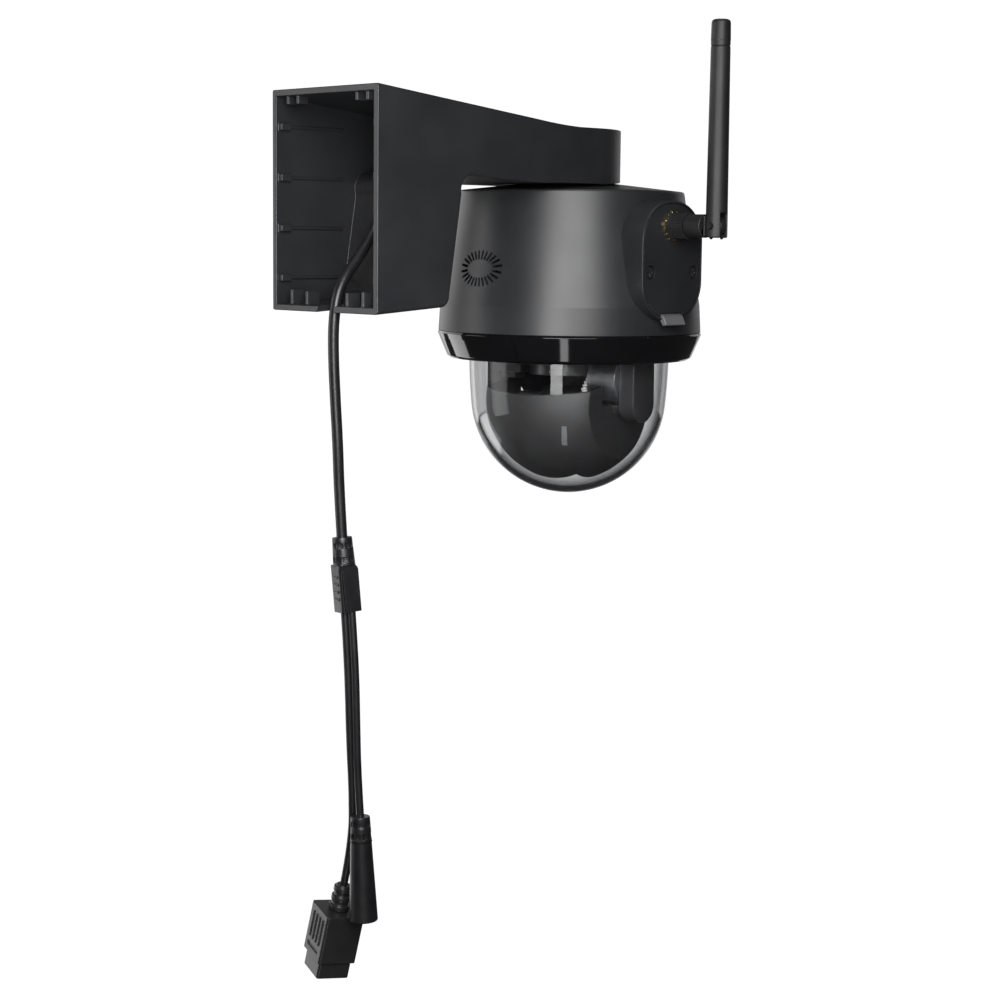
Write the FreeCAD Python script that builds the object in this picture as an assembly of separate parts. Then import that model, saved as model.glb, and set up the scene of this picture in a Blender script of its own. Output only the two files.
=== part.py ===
"""Pan-tilt security camera on a hollow wall arm, as separate named solids.

Frame: millimetres, +Z up.  The origin is the centre of the bracket's open rear
face, which lies against the wall.  +Y points into the wall, so the arm reaches
out along -Y.  The antenna and the service cover are on the -X side.
"""
import FreeCAD, Part
import math
import os

V = FreeCAD.Vector
X_AXIS = V(1, 0, 0)
Y_AXIS = V(0, 1, 0)
Z_AXIS = V(0, 0, 1)

# ---------------------------------------------------------------- driving sizes
# wall bracket
BRACKET_W = 76.7          # width of the rear face
BRACKET_H = 102.3         # height of the rear face
BRACKET_WALL = 2.8
ARM_END_CENTRE = -140.7   # centre of the arm's half-round end
ARM_TOP_Z = 37.4          # level part of the arm's top
ARM_UNDER_Z = 10.3        # level part of the arm's underside
NOTCH_X = -1.0            # cable notch in the lower rim
NOTCH_W = 12.0
NOTCH_DEPTH = 10.2

# camera head
AXIS_Y = -160.5           # vertical axis of the head
SEAM_R = 67.0             # widest radius, at the seam with the trim ring
SEAM_Z = -62.9
SHOULDER_R = 57.3         # top rim of the housing
SHOULDER_Z = 7.6
CREASE_R = 66.2
CREASE_Z = -49.3
SHELL = 2.6
TOP_PAD_R = 22.0          # flat seat on top of the housing
TOP_PAD_Z = 11.6

# clear dome
DOME_R = 50.0             # outside radius of the spherical part
DOME_Z = -96.0            # centre of the sphere
DOME_T = 2.2
DOME_SKIRT_R = 51.2
DOME_JOIN_Z = -101.0      # where the skirt's long arc meets the sphere
FLANGE_R = 57.8
FLANGE_Z = -72.5          # underside of the flange

# service pod on the -X side
POD_X = -70.3             # face plane
POD_Z = -26.65            # centre of the face
POD_HALF_W = 21.6
POD_HALF_H = 29.15
POD_CORNER = 19.5
POD_SCREW_DY = 15.35
POD_SCREW_Z = -32.0

# antenna
ANT_Z = -9.5              # connector axis, along -X
HINGE_X = -97.6
WHIP_R = 5.3
WHIP_TIP_R = 4.65
WHIP_TOP = 87.0
WHIP_BOTTOM = -15.1
BARREL_R = 5.6
BARREL_END = -91.4
PIN_R = 1.4

# moving camera inside the dome
PAN_REST = 12.0           # heading of the lens at rest, degrees from -Y
TILT_Z = -97.5            # tilt axis height
SHROUD_R = 42.5
MODULE_R = 36.0
MODULE_HALF_W = 13.6
YOKE_IN = 36.0            # inner face of each yoke arm
YOKE_OUT = 44.6
YOKE_R = 10.0             # rounded end of each arm

# gears: module, teeth
PAN_MODULE = 0.8
PAN_TEETH = 72
PAN_PINION_TEETH = 12
TILT_MODULE = 0.66
TILT_TEETH = 40
TILT_PINION_TEETH = 10
GEAR_SLACK = 0.25         # added centre distance, so the teeth never bind

# lead
LEAD_R = 2.6
TAIL_R = 1.9

NODES = {}


# ---------------------------------------------------------------- small helpers
def box(x0, x1, y0, y1, z0, z1):
    """Axis-aligned block between two corners."""
    return Part.makeBox(x1 - x0, y1 - y0, z1 - z0, V(x0, y0, z0))


def rod(radius, start, end):
    """Cylinder from one point to another."""
    start = V(*start)
    way = V(*end) - start
    return Part.makeCylinder(radius, way.Length, start, way)


def tube(outer, inner, start, end):
    """Hollow cylinder between two points."""
    return rod(outer, start, end).cut(rod(inner, start, end))


def cone(r0, r1, start, end):
    """Cone frustum between two points."""
    start = V(*start)
    way = V(*end) - start
    return Part.makeCone(r0, r1, way.Length, start, way)


def head_point(radius, angle, z):
    """Point at a radius and heading about the head's vertical axis."""
    turn = math.radians(angle)
    return (radius * math.cos(turn), AXIS_Y + radius * math.sin(turn), z)


def polygon_face(points):
    """Flat face from 3-D corners."""
    corners = [V(*p) for p in points]
    return Part.Face(Part.makePolygon(corners + corners[:1]))


def turned(profile):
    """Solid of revolution about the head's axis from (radius, z) corners."""
    face = polygon_face([(r, AXIS_Y, z) for r, z in profile])
    return face.revolve(V(0, AXIS_Y, 0), Z_AXIS, 360)


def turned_edges(edges):
    """Solid of revolution about the head's axis from ready-made edges."""
    face = Part.Face(Part.Wire(edges))
    return face.revolve(V(0, AXIS_Y, 0), Z_AXIS, 360)


def fuse(first, *others):
    """Join solids into one and remove the seams."""
    return first.multiFuse(list(others)).removeSplitter()


def round_edges(shape, radius, chosen):
    """Fillet the edges that a test picks out."""
    edges = [edge for edge in shape.Edges if chosen(edge)]
    return shape.makeFillet(radius, edges)


def is_vertical(edge):
    ends = edge.Vertexes
    if len(ends) != 2:
        return False
    way = ends[1].Point - ends[0].Point
    return abs(way.z) > 0.98 * way.Length


def turn_about_head(shape, angle):
    """Copy turned about the head's vertical axis."""
    copy = shape.copy()
    copy.rotate(V(0, AXIS_Y, 0), Z_AXIS, angle)
    return copy


def to_yoke(shape):
    """Turn a piece built facing -Y to the camera's rest heading."""
    return turn_about_head(shape, PAN_REST)


def stadium_prism(inset, x0, x1):
    """The pod's rounded outline, inset evenly, between two x planes."""
    half_w = POD_HALF_W - inset
    half_h = POD_HALF_H - inset
    block = box(x0, x1, AXIS_Y - half_w, AXIS_Y + half_w, POD_Z - half_h, POD_Z + half_h)
    return round_edges(block, POD_CORNER - inset, is_along_x)


def is_along_x(edge):
    ends = edge.Vertexes
    if len(ends) != 2:
        return False
    way = ends[1].Point - ends[0].Point
    return abs(way.x) > 0.98 * way.Length


def gear_blank(teeth, module, height):
    """Spur gear on +Z with straight-flanked teeth and one tooth on +X."""
    pitch_r = teeth * module / 2
    root_r = pitch_r - 1.25 * module
    tip_r = pitch_r + 0.85 * module
    step = 2 * math.pi / teeth
    outline = []
    for tooth in range(teeth):
        mid = tooth * step
        for radius, share in ((root_r, -0.30), (tip_r, -0.11), (tip_r, 0.11), (root_r, 0.30)):
            turn = mid + share * step
            outline.append((radius * math.cos(turn), radius * math.sin(turn), 0))
    return polygon_face(outline).extrude(V(0, 0, height))


def knurled(radius, start_x, end_x, teeth, depth, centre_y, centre_z):
    """Cylinder along X with fine straight grooves."""
    outline = []
    for tooth in range(teeth):
        for share, r in ((0.0, radius), (0.5, radius), (0.6, radius - depth), (0.9, radius - depth)):
            turn = 2 * math.pi * (tooth + share) / teeth
            outline.append((start_x, centre_y + r * math.cos(turn), centre_z + r * math.sin(turn)))
    return polygon_face(outline).extrude(V(end_x - start_x, 0, 0))


def hexagon(across, start_x, end_x, centre_y, centre_z):
    """Hexagonal prism along X."""
    radius = across / math.sqrt(3)
    outline = []
    for corner in range(6):
        turn = math.radians(60 * corner)
        outline.append((start_x, centre_y + radius * math.cos(turn), centre_z + radius * math.sin(turn)))
    return polygon_face(outline).extrude(V(end_x - start_x, 0, 0))


def cross_head_screw(head_r, head_h, shank_r, length):
    """Pan-head screw along -Z with its head's top at z=0 and a cross recess."""
    head = Part.makeCylinder(head_r, head_h, V(0, 0, -head_h))
    head = round_edges(head, head_h * 0.4, lambda e: abs(e.BoundBox.ZMin) < 0.01)
    shank = Part.makeCylinder(shank_r, length, V(0, 0, -head_h - length))
    slot = head_r * 0.62
    depth = head_h * 0.6
    width = head_r * 0.14
    cut = box(-slot, slot, -width, width, -depth, 1).fuse(box(-width, width, -slot, slot, -depth, 1))
    return fuse(head, shank).cut(cut)


def placed(shape, position, direction=None):
    """Copy moved to a position, its +Z turned to a direction."""
    copy = shape.copy()
    if direction is not None:
        turn = FreeCAD.Rotation(Z_AXIS, V(*direction))
        copy.Placement = FreeCAD.Placement(V(0, 0, 0), turn)
    copy.translate(V(*position))
    return copy


def group(shapes):
    """Several separate solids in one node."""
    return Part.makeCompound(shapes)


# ---------------------------------------------------------------- wall bracket
def bracket_side_face(inset, x):
    """Side outline of the bracket, inset evenly on every side but the rear."""
    half = BRACKET_H / 2
    rear = 0.0 if inset == 0 else 1.0
    far = ARM_END_CENTRE - BRACKET_W / 2 - 5
    top = Part.Arc(V(x, -100, 39.85 - inset), V(x, -113.5, 38.35 - inset), V(x, -128, ARM_TOP_Z - inset))
    knee = Part.Arc(V(x, -60 + inset, 11.9 + inset), V(x, -53.2 + inset, 10.2 + inset * 0.9),
                    V(x, -51.2 + inset, 3.5))
    foot = Part.Arc(V(x, -44.1 + inset, -43.0 + inset), V(x, -42.4 + inset, -47.0 + inset),
                    V(x, -38.5 + inset, -48.4 + inset))
    corners = [
        Part.LineSegment(V(x, rear, half - inset), V(x, -100, 39.85 - inset)),
        top,
        Part.LineSegment(V(x, -128, ARM_TOP_Z - inset), V(x, far, ARM_TOP_Z - inset)),
        Part.LineSegment(V(x, far, ARM_TOP_Z - inset), V(x, far, ARM_UNDER_Z + inset)),
        Part.LineSegment(V(x, far, ARM_UNDER_Z + inset), V(x, -93, ARM_UNDER_Z + inset)),
        Part.LineSegment(V(x, -93, ARM_UNDER_Z + inset), V(x, -60 + inset, 11.9 + inset)),
        knee,
        Part.LineSegment(V(x, -51.2 + inset, 3.5), V(x, -44.1 + inset, -43.0 + inset)),
        foot,
        Part.LineSegment(V(x, -38.5 + inset, -48.4 + inset), V(x, rear, -half + inset)),
        Part.LineSegment(V(x, rear, -half + inset), V(x, rear, half - inset)),
    ]
    return Part.Face(Part.Wire([c.toShape() for c in corners]))


def bracket_plan(inset):
    """Plan outline of the bracket as a tall block: straight sides, round end."""
    half = BRACKET_W / 2 - inset
    sides = box(-half, half, ARM_END_CENTRE, 2, -80, 80)
    return sides.fuse(rod(half, (0, ARM_END_CENTRE, -80), (0, ARM_END_CENTRE, 80)))


def bracket_block(inset):
    face = bracket_side_face(inset, -60)
    return face.extrude(V(120, 0, 0)).common(bracket_plan(inset))


def make_wall_bracket():
    shell = bracket_block(0).cut(bracket_block(BRACKET_WALL))
    half = BRACKET_W / 2 - BRACKET_WALL
    floor = -BRACKET_H / 2 + BRACKET_WALL
    roof = BRACKET_H / 2 - BRACKET_WALL
    extras = []
    for side in (-1, 1):
        for z in (34.2, 10.7, -12.7, -35.9):
            inner = side * (half - 1.1)
            outer_x = side * (half + 0.4)
            extras.append(box(min(inner, outer_x), max(inner, outer_x), -40, -1.6, z - 0.6, z + 0.6))
            lug = side * (half - 2.4)
            extras.append(box(min(lug, outer_x), max(lug, outer_x), -7.5, -1.6, z - 1.6, z + 1.6))
        for x in (21.4, 28.8):
            extras.append(box(side * x - 0.9, side * x + 0.9, -7.5, -1.6, roof - 4.2, roof + 0.4))
        for x, height in ((14.7, 6.6), (26.0, 7.2)):
            extras.append(box(side * x - 0.9, side * x + 0.9, -9, -1.6, floor - 0.4, floor + height))
    pad = rod(26, (0, AXIS_Y, ARM_UNDER_Z + 0.5), (0, AXIS_Y, 17.5)).common(bracket_plan(0.5))
    shell = fuse(shell, pad, *extras)
    shell = shell.cut(turned([(0, -20), (0, 12.4), (TOP_PAD_R + 0.3, 12.4),
                              (SHOULDER_R + 0.3, SHOULDER_Z + 0.8), (SHOULDER_R + 0.3, -20)]))
    shell = shell.cut(rod(8.0, (0, AXIS_Y, 0), (0, AXIS_Y, 30)))
    for x, y, _ in SEAT_SCREWS:
        shell = shell.cut(rod(2.2, (x, y, 0), (x, y, 30)))
    notch = box(NOTCH_X - NOTCH_W / 2, NOTCH_X + NOTCH_W / 2, -NOTCH_DEPTH, 5, -60, floor + 1.8)
    notch = round_edges(notch, 1.5, lambda e: is_vertical(e) and e.BoundBox.YMax < 0)
    return shell.cut(notch)


SEAT_SCREWS = [head_point(15.5, angle, 0) for angle in (90, 210, 330)]


def make_arm_gasket():
    ring = tube(21.5, 8.2, (0, AXIS_Y, TOP_PAD_Z), (0, AXIS_Y, 12.4))
    for x, y, _ in SEAT_SCREWS:
        ring = ring.cut(rod(2.2, (x, y, 0), (x, y, 30)))
    return ring


def make_arm_screws():
    screw = cross_head_screw(3.9, 2.4, 1.9, 12)
    return group([placed(screw, (x, y, 17.5 + 2.4)) for x, y, _ in SEAT_SCREWS])


def make_cable_gland():
    """Threaded gland body and its nut, through the housing's top and the seat."""
    body = rod(7.5, (0, AXIS_Y, 5.0), (0, AXIS_Y, 21.0))
    flange = rod(9.6, (0, AXIS_Y, 5.0), (0, AXIS_Y, 8.8))
    nut_r = 10.4
    corners = [(nut_r * math.cos(math.radians(60 * i)), AXIS_Y + nut_r * math.sin(math.radians(60 * i)), 17.5)
               for i in range(6)]
    nut = polygon_face(corners).extrude(V(0, 0, 3.0))
    return fuse(body, flange, nut).cut(rod(4.5, (0, AXIS_Y, 0), (0, AXIS_Y, 40)))


BOOT_BEND = 5.2
BOOT_Z = 26.2


def make_cable_boot():
    """Moulded elbow that turns the lead from the gland into the arm."""
    low = V(0, AXIS_Y, 12.0)
    bend0 = V(0, AXIS_Y, BOOT_Z - BOOT_BEND)
    bend1 = V(0, AXIS_Y + BOOT_BEND, BOOT_Z)
    middle = V(0, AXIS_Y + BOOT_BEND * (1 - math.cos(math.pi / 4)),
               BOOT_Z - BOOT_BEND * (1 - math.sin(math.pi / 4)))
    end = V(0, AXIS_Y + BOOT_BEND + 3.0, BOOT_Z)
    path = Part.Wire([Part.LineSegment(low, bend0).toShape(), Part.Arc(bend0, middle, bend1).toShape(),
                      Part.LineSegment(bend1, end).toShape()])
    ring = Part.Wire([Part.Circle(low, Z_AXIS, 4.4).toShape()])
    elbow = path.makePipeShell([ring], True, False)
    nose = cone(4.4, 3.4, end, (0, LEAD_ROUTE[0][1], BOOT_Z))
    return fuse(elbow, nose)


# ---------------------------------------------------------------- camera head
def make_housing_shell():
    outer = turned([(0, SEAM_Z), (0, TOP_PAD_Z), (TOP_PAD_R, TOP_PAD_Z), (SHOULDER_R, SHOULDER_Z),
                    (CREASE_R, CREASE_Z), (SEAM_R, SEAM_Z)])
    outer = round_edges(outer, 1.4, lambda e: abs(e.BoundBox.ZMin - SHOULDER_Z) < 0.01 and e.BoundBox.XLength > 90)
    pod = stadium_prism(0, POD_X, -40)
    pod = round_edges(pod, 0.5, lambda e: e.BoundBox.XMax < POD_X + 0.01)
    hollow = turned([(0, SEAM_Z - 1), (0, TOP_PAD_Z - SHELL), (TOP_PAD_R, TOP_PAD_Z - SHELL),
                     (SHOULDER_R - SHELL, SHOULDER_Z - SHELL), (CREASE_R - SHELL, CREASE_Z),
                     (SEAM_R - SHELL, SEAM_Z - 1)])
    # material between the pod's cavity and the inside of the head
    liner = turned([(0, SEAM_Z - 1), (0, TOP_PAD_Z - 0.2), (SHOULDER_R - 0.2, SHOULDER_Z - 0.2),
                    (CREASE_R - 0.2, CREASE_Z), (SEAM_R - 0.2, SEAM_Z - 1)])
    pod_cavity = stadium_prism(4.2, -66.6, -40).cut(liner)
    bosses = []
    for dy in (-POD_SCREW_DY, POD_SCREW_DY):
        bosses.append(rod(3.6, (-66.6, AXIS_Y + dy, POD_SCREW_Z), (-57.8, AXIS_Y + dy, POD_SCREW_Z)))
    chassis_bosses = []
    for angle in (45, 135, 225, 315):
        low = head_point(59.6, angle, -51.6)
        high = head_point(59.6, angle, -24)
        chassis_bosses.append(rod(4.0, low, high))
    chassis_posts = fuse(chassis_bosses[0], *chassis_bosses[1:]).common(outer)
    shell = fuse(outer, pod).cut(stadium_prism(1.2, POD_X - 1, -66.6)).cut(pod_cavity).cut(hollow)
    shell = fuse(shell, chassis_posts, *bosses)
    for angle in (45, 135, 225, 315):
        shell = shell.cut(rod(1.3, head_point(59.0, angle, -53), head_point(59.0, angle, -36)))
    for dy in (-POD_SCREW_DY, POD_SCREW_DY):
        shell = shell.cut(rod(1.25, (-72, AXIS_Y + dy, POD_SCREW_Z), (-60, AXIS_Y + dy, POD_SCREW_Z)))
    shell = shell.cut(rod(5.2, (-72, AXIS_Y, ANT_Z), (-45, AXIS_Y, ANT_Z)))
    shell = shell.cut(box(-72, -45, AXIS_Y - 10, AXIS_Y + 10, -49, -21))
    shell = shell.cut(rod(7.6, (0, AXIS_Y, 0), (0, AXIS_Y, 30)))
    for x, y, _ in SEAT_SCREWS:
        shell = shell.cut(rod(1.95, (x, y, 0), (x, y, 30)))
    for slot in grille_slots():
        shell = shell.cut(slot)
    tab_gap = box(-75, -69.0, AXIS_Y - 7.6, AXIS_Y + 7.6, -60, -53.4)
    return shell.cut(tab_gap)


GRILLE_Z = -31.2
GRILLE_SLOTS = 24


def even_turns(count, half_w, half_h):
    """Angles whose points are evenly spaced along an oval."""
    steps = 720
    lengths = [0.0]
    for step in range(steps):
        turn = 2 * math.pi * (step + 0.5) / steps
        lengths.append(lengths[-1] + math.hypot(half_w * math.sin(turn), half_h * math.cos(turn)))
    turns = []
    step = 0
    for index in range(count):
        wanted = lengths[-1] * (index + 0.5) / count
        while lengths[step + 1] < wanted:
            step += 1
        turns.append(2 * math.pi * (step + 0.5) / steps)
    return turns


def grille_slots():
    """Slots radiating from an oval, in the wall that faces the bracket."""
    slots = []
    for turn in even_turns(GRILLE_SLOTS, 8.8, 4.3):
        inner = (8.8 * math.cos(turn), 4.3 * math.sin(turn))
        outer = (14.9 * math.cos(turn), 8.9 * math.sin(turn))
        length = math.hypot(outer[0] - inner[0], outer[1] - inner[1])
        heading = math.degrees(math.atan2(outer[1] - inner[1], outer[0] - inner[0]))
        slot = box(0, length, -12, 12, -0.65, 0.65)
        slot = round_edges(slot, 0.64, is_along_y)
        slot.rotate(V(0, 0, 0), Y_AXIS, -heading)
        slot.translate(V(inner[0], AXIS_Y + 62, GRILLE_Z + inner[1]))
        slots.append(slot)
    return slots


def is_along_y(edge):
    ends = edge.Vertexes
    if len(ends) != 2:
        return False
    way = ends[1].Point - ends[0].Point
    return abs(way.y) > 0.98 * way.Length


def make_speaker():
    y0 = AXIS_Y + 50.0
    frame = box(-16, 16, y0, y0 + 6.5, GRILLE_Z - 10, GRILLE_Z + 10)
    frame = round_edges(frame, 6, is_along_y)
    magnet = rod(7.5, (0, y0 - 5, GRILLE_Z), (0, y0, GRILLE_Z))
    return fuse(frame, magnet)


def make_side_cover():
    cover = stadium_prism(1.4, -69.9, -67.4)
    cover = round_edges(cover, 0.4, lambda e: e.BoundBox.XMax < -69.89)
    cover = cover.cut(rod(3.3, (-75, AXIS_Y, ANT_Z), (-60, AXIS_Y, ANT_Z)))
    for dy in (-POD_SCREW_DY, POD_SCREW_DY):
        y = AXIS_Y + dy
        cover = cover.cut(rod(1.7, (-75, y, POD_SCREW_Z), (-60, y, POD_SCREW_Z)))
        cover = cover.cut(rod(3.3, (-75, y, POD_SCREW_Z), (-68.3, y, POD_SCREW_Z)))
    return cover.cut(box(-75, -69.0, AXIS_Y - 7.6, AXIS_Y + 7.6, -60, -51.6))


def make_side_cover_gasket():
    return stadium_prism(1.5, -67.4, -66.6).cut(stadium_prism(4.1, -68, -66))


def make_side_cover_screws():
    screws = []
    for dy in (-POD_SCREW_DY, POD_SCREW_DY):
        screw = cross_head_screw(2.9, 0.9, 1.2, 6.6)
        screws.append(placed(screw, (-69.2, AXIS_Y + dy, POD_SCREW_Z), (-1, 0, 0)))
    return group(screws)


def make_cover_pull_tab():
    """Finger tab at the bottom of the side cover."""
    outline = [(-69.0, AXIS_Y - 7.2, -51.9), (-71.2, AXIS_Y - 7.2, -53.0), (-73.4, AXIS_Y - 7.2, -57.4),
               (-70.8, AXIS_Y - 7.2, -57.9), (-69.0, AXIS_Y - 7.2, -55.6)]
    return polygon_face(outline).extrude(V(0, 14.4, 0))


# ---------------------------------------------------------------- antenna
def make_antenna_connector():
    thread = tube(3.15, 1.9, (-80.0, AXIS_Y, ANT_Z), (-64.0, AXIS_Y, ANT_Z))
    inner_nut = hexagon(8.0, -67.4, -65.0, AXIS_Y, ANT_Z).cut(rod(2.0, (-75, AXIS_Y, ANT_Z), (-60, AXIS_Y, ANT_Z)))
    return fuse(thread, inner_nut)


def make_connector_washer():
    """Toothed locking washer under the connector's nut."""
    outline = []
    teeth = 14
    for tooth in range(teeth):
        for share, radius in ((0.0, 7.4), (0.55, 7.4), (0.62, 6.5), (0.93, 6.5)):
            turn = 2 * math.pi * (tooth + share) / teeth
            outline.append((-70.8, AXIS_Y + radius * math.cos(turn), ANT_Z + radius * math.sin(turn)))
    plate = polygon_face(outline).extrude(V(0.9, 0, 0))
    return plate.cut(rod(3.2, (-75, AXIS_Y, ANT_Z), (-60, AXIS_Y, ANT_Z)))


def make_connector_nut():
    return hexagon(12.4, -73.2, -70.8, AXIS_Y, ANT_Z).cut(rod(3.2, (-75, AXIS_Y, ANT_Z), (-60, AXIS_Y, ANT_Z)))


def make_antenna_coupling_nut():
    ring = knurled(6.3, -80.5, -73.2, 30, 0.35, AXIS_Y, ANT_Z)
    return ring.cut(rod(3.2, (-82, AXIS_Y, ANT_Z), (-70, AXIS_Y, ANT_Z)))


def make_antenna_barrel():
    body = rod(BARREL_R, (-80.8, AXIS_Y, ANT_Z), (BARREL_END, AXIS_Y, ANT_Z))
    body = round_edges(body, 0.5, lambda e: len(e.Vertexes) == 1)
    tongue = box(HINGE_X, BARREL_END + 1, AXIS_Y - 1.9, AXIS_Y + 1.9, ANT_Z - 4.6, ANT_Z + 4.6)
    eye = rod(4.6, (HINGE_X, AXIS_Y - 1.9, ANT_Z), (HINGE_X, AXIS_Y + 1.9, ANT_Z))
    centre_pin = rod(1.85, (-80.8, AXIS_Y, ANT_Z), (-75.0, AXIS_Y, ANT_Z))
    whole = fuse(body, tongue, eye, centre_pin)
    return whole.cut(rod(PIN_R, (HINGE_X, AXIS_Y - 9, ANT_Z), (HINGE_X, AXIS_Y + 9, ANT_Z)))


def make_antenna_hinge_pin():
    return rod(PIN_R, (HINGE_X, AXIS_Y - 5.5, ANT_Z), (HINGE_X, AXIS_Y + 5.5, ANT_Z))


def make_antenna_whip():
    top = WHIP_TOP - 10.2
    stem = cone(WHIP_R, WHIP_TIP_R, (HINGE_X, AXIS_Y, WHIP_BOTTOM), (HINGE_X, AXIS_Y, top))
    # the lower corner next to the barrel is rounded about the pin so that it can swing past
    corner = box(HINGE_X, HINGE_X + 8, AXIS_Y - 8, AXIS_Y + 8, WHIP_BOTTOM - 1, ANT_Z)
    stem = stem.cut(corner.cut(rod(5.5, (HINGE_X, AXIS_Y - 9, ANT_Z), (HINGE_X, AXIS_Y + 9, ANT_Z))))
    stem = stem.cut(box(HINGE_X - 8, HINGE_X + 8, AXIS_Y - 2.25, AXIS_Y + 2.25, WHIP_BOTTOM - 1, ANT_Z + 6.0))
    stem = stem.cut(rod(PIN_R + 0.05, (HINGE_X, AXIS_Y - 9, ANT_Z), (HINGE_X, AXIS_Y + 9, ANT_Z)))
    for z in (WHIP_TOP - 10.7, WHIP_TOP - 12.1):
        ring = Part.makeTorus(WHIP_TIP_R + 0.25, 0.45, V(HINGE_X, AXIS_Y, z), Z_AXIS)
        stem = stem.cut(ring)
    return stem


def make_antenna_cap():
    cap = cone(4.75, 4.55, (HINGE_X, AXIS_Y, WHIP_TOP - 10.2), (HINGE_X, AXIS_Y, WHIP_TOP))
    return round_edges(cap, 1.8, lambda e: abs(e.BoundBox.ZMin - WHIP_TOP) < 0.01 and len(e.Vertexes) == 1)


# ---------------------------------------------------------------- ring and dome
def make_trim_ring():
    profile = [(61.6, -57.8), (63.2, -57.8), (63.2, SEAM_Z), (67.1, SEAM_Z), (67.4, -63.7), (66.3, -66.7),
               (62.5, -75.6), (60.9, -76.8), (51.6, -76.8), (51.6, FLANGE_Z), (58.2, FLANGE_Z),
               (58.2, -66.5), (61.6, -65.0)]
    ring = turned(profile)
    posts = []
    for angle in (0, 90, 180, 270):
        posts.append(rod(3.2, head_point(59.4, angle, -54.5), head_point(59.4, angle, -66.6)))
    ring = fuse(ring, *posts)
    for angle in (0, 90, 180, 270):
        ring = ring.cut(rod(1.25, head_point(59.4, angle, -54), head_point(59.4, angle, -63)))
    return ring


def make_ring_screws():
    screw = cross_head_screw(2.9, 1.6, 1.2, 9.5)
    return group([placed(screw, head_point(59.4, angle, CHASSIS_TOP + 1.6)) for angle in (0, 90, 180, 270)])


def dome_skin(offset, top_z):
    """Edges of the dome's outer profile moved inwards, from the axis up to a height."""
    sphere_r = DOME_R - offset
    drop = DOME_Z - DOME_JOIN_Z
    lean = math.asin(drop / DOME_R)
    long_r = (DOME_SKIRT_R - DOME_R * math.cos(lean)) / (1 - math.cos(lean))
    centre_r = DOME_SKIRT_R - long_r
    skirt_z = DOME_JOIN_Z + long_r * math.sin(lean)
    skirt_r = long_r - offset
    join = V(sphere_r * math.cos(lean), AXIS_Y, DOME_Z - sphere_r * math.sin(lean))
    half = math.radians(45) + lean / 2
    low = Part.Arc(V(0, AXIS_Y, DOME_Z - sphere_r),
                   V(sphere_r * math.cos(half), AXIS_Y, DOME_Z - sphere_r * math.sin(half)), join)
    turn = math.asin((skirt_z - top_z) / skirt_r) if top_z < skirt_z else 0
    mid = (turn + lean) / 2
    high_point = V(centre_r + skirt_r * math.cos(turn), AXIS_Y, skirt_z - skirt_r * math.sin(turn))
    mid_point = V(centre_r + skirt_r * math.cos(mid), AXIS_Y, skirt_z - skirt_r * math.sin(mid))
    return low, Part.Arc(join, mid_point, high_point), high_point


def make_dome_window():
    low_out, high_out, top_out = dome_skin(0, FLANGE_Z)
    low_in, high_in, top_in = dome_skin(DOME_T, FLANGE_Z)
    flange_top = FLANGE_Z + 2.2
    rim = [top_out, V(FLANGE_R, AXIS_Y, FLANGE_Z), V(FLANGE_R, AXIS_Y, flange_top),
           V(top_in.x, AXIS_Y, flange_top), top_in]
    edges = [low_out.toShape(), high_out.toShape()]
    edges += [Part.LineSegment(a, b).toShape() for a, b in zip(rim, rim[1:])]
    edges += [high_in.toShape(), low_in.toShape()]
    edges.append(Part.LineSegment(V(0, AXIS_Y, DOME_Z - DOME_R + DOME_T), V(0, AXIS_Y, DOME_Z - DOME_R)).toShape())
    return turned_edges(Part.__sortEdges__(edges))


def make_dome_retainer():
    """Flat ring that presses the gasket on to the dome's flange."""
    return tube(57.6, 52.6, (0, AXIS_Y, FLANGE_Z + 4.2), (0, AXIS_Y, -66.6))


def make_dome_gasket():
    return tube(57.4, 53.6, (0, AXIS_Y, FLANGE_Z + 2.2), (0, AXIS_Y, FLANGE_Z + 4.2))


# ---------------------------------------------------------------- fixed internals
PINION_ANGLE = 250.0
PAN_CENTRES = PAN_MODULE * (PAN_TEETH + PAN_PINION_TEETH) / 2 + GEAR_SLACK
PAN_PINION_X, PAN_PINION_Y, _ = head_point(PAN_CENTRES, PINION_ANGLE, 0)
CHASSIS_TOP = -52.1
CHASSIS_T = 2.4
BEARING_R = 19.0


def make_chassis_plate():
    plate = rod(60.6, (0, AXIS_Y, CHASSIS_TOP - CHASSIS_T), (0, AXIS_Y, CHASSIS_TOP))
    collar = rod(BEARING_R + 2.2, (0, AXIS_Y, CHASSIS_TOP - CHASSIS_T), (0, AXIS_Y, -46.5))
    plate = fuse(plate, collar).cut(rod(BEARING_R, (0, AXIS_Y, -70), (0, AXIS_Y, -40)))
    for angle in (45, 135, 225, 315):
        plate = plate.cut(rod(1.5, head_point(59.0, angle, -60), head_point(59.0, angle, -50)))
    for angle in (0, 90, 180, 270):
        plate = plate.cut(rod(1.5, head_point(59.4, angle, -60), head_point(59.4, angle, -50)))
    return plate.cut(rod(6.0, (PAN_PINION_X, PAN_PINION_Y, -60), (PAN_PINION_X, PAN_PINION_Y, -50)))


def make_chassis_screws():
    screw = cross_head_screw(2.6, 1.5, 1.2, 12)
    screws = []
    for angle in (45, 135, 225, 315):
        screws.append(placed(screw, head_point(59.0, angle, CHASSIS_TOP - CHASSIS_T - 1.5), (0, 0, -1)))
    return group(screws)


def make_pan_bearing():
    ring = tube(BEARING_R, SPINDLE_R + 0.05, (0, AXIS_Y, CHASSIS_TOP - CHASSIS_T), (0, AXIS_Y, -48.0))
    groove = Part.makeTorus(16.5, 1.2, V(0, AXIS_Y, -48.0), Z_AXIS)
    return ring.cut(groove)


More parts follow.
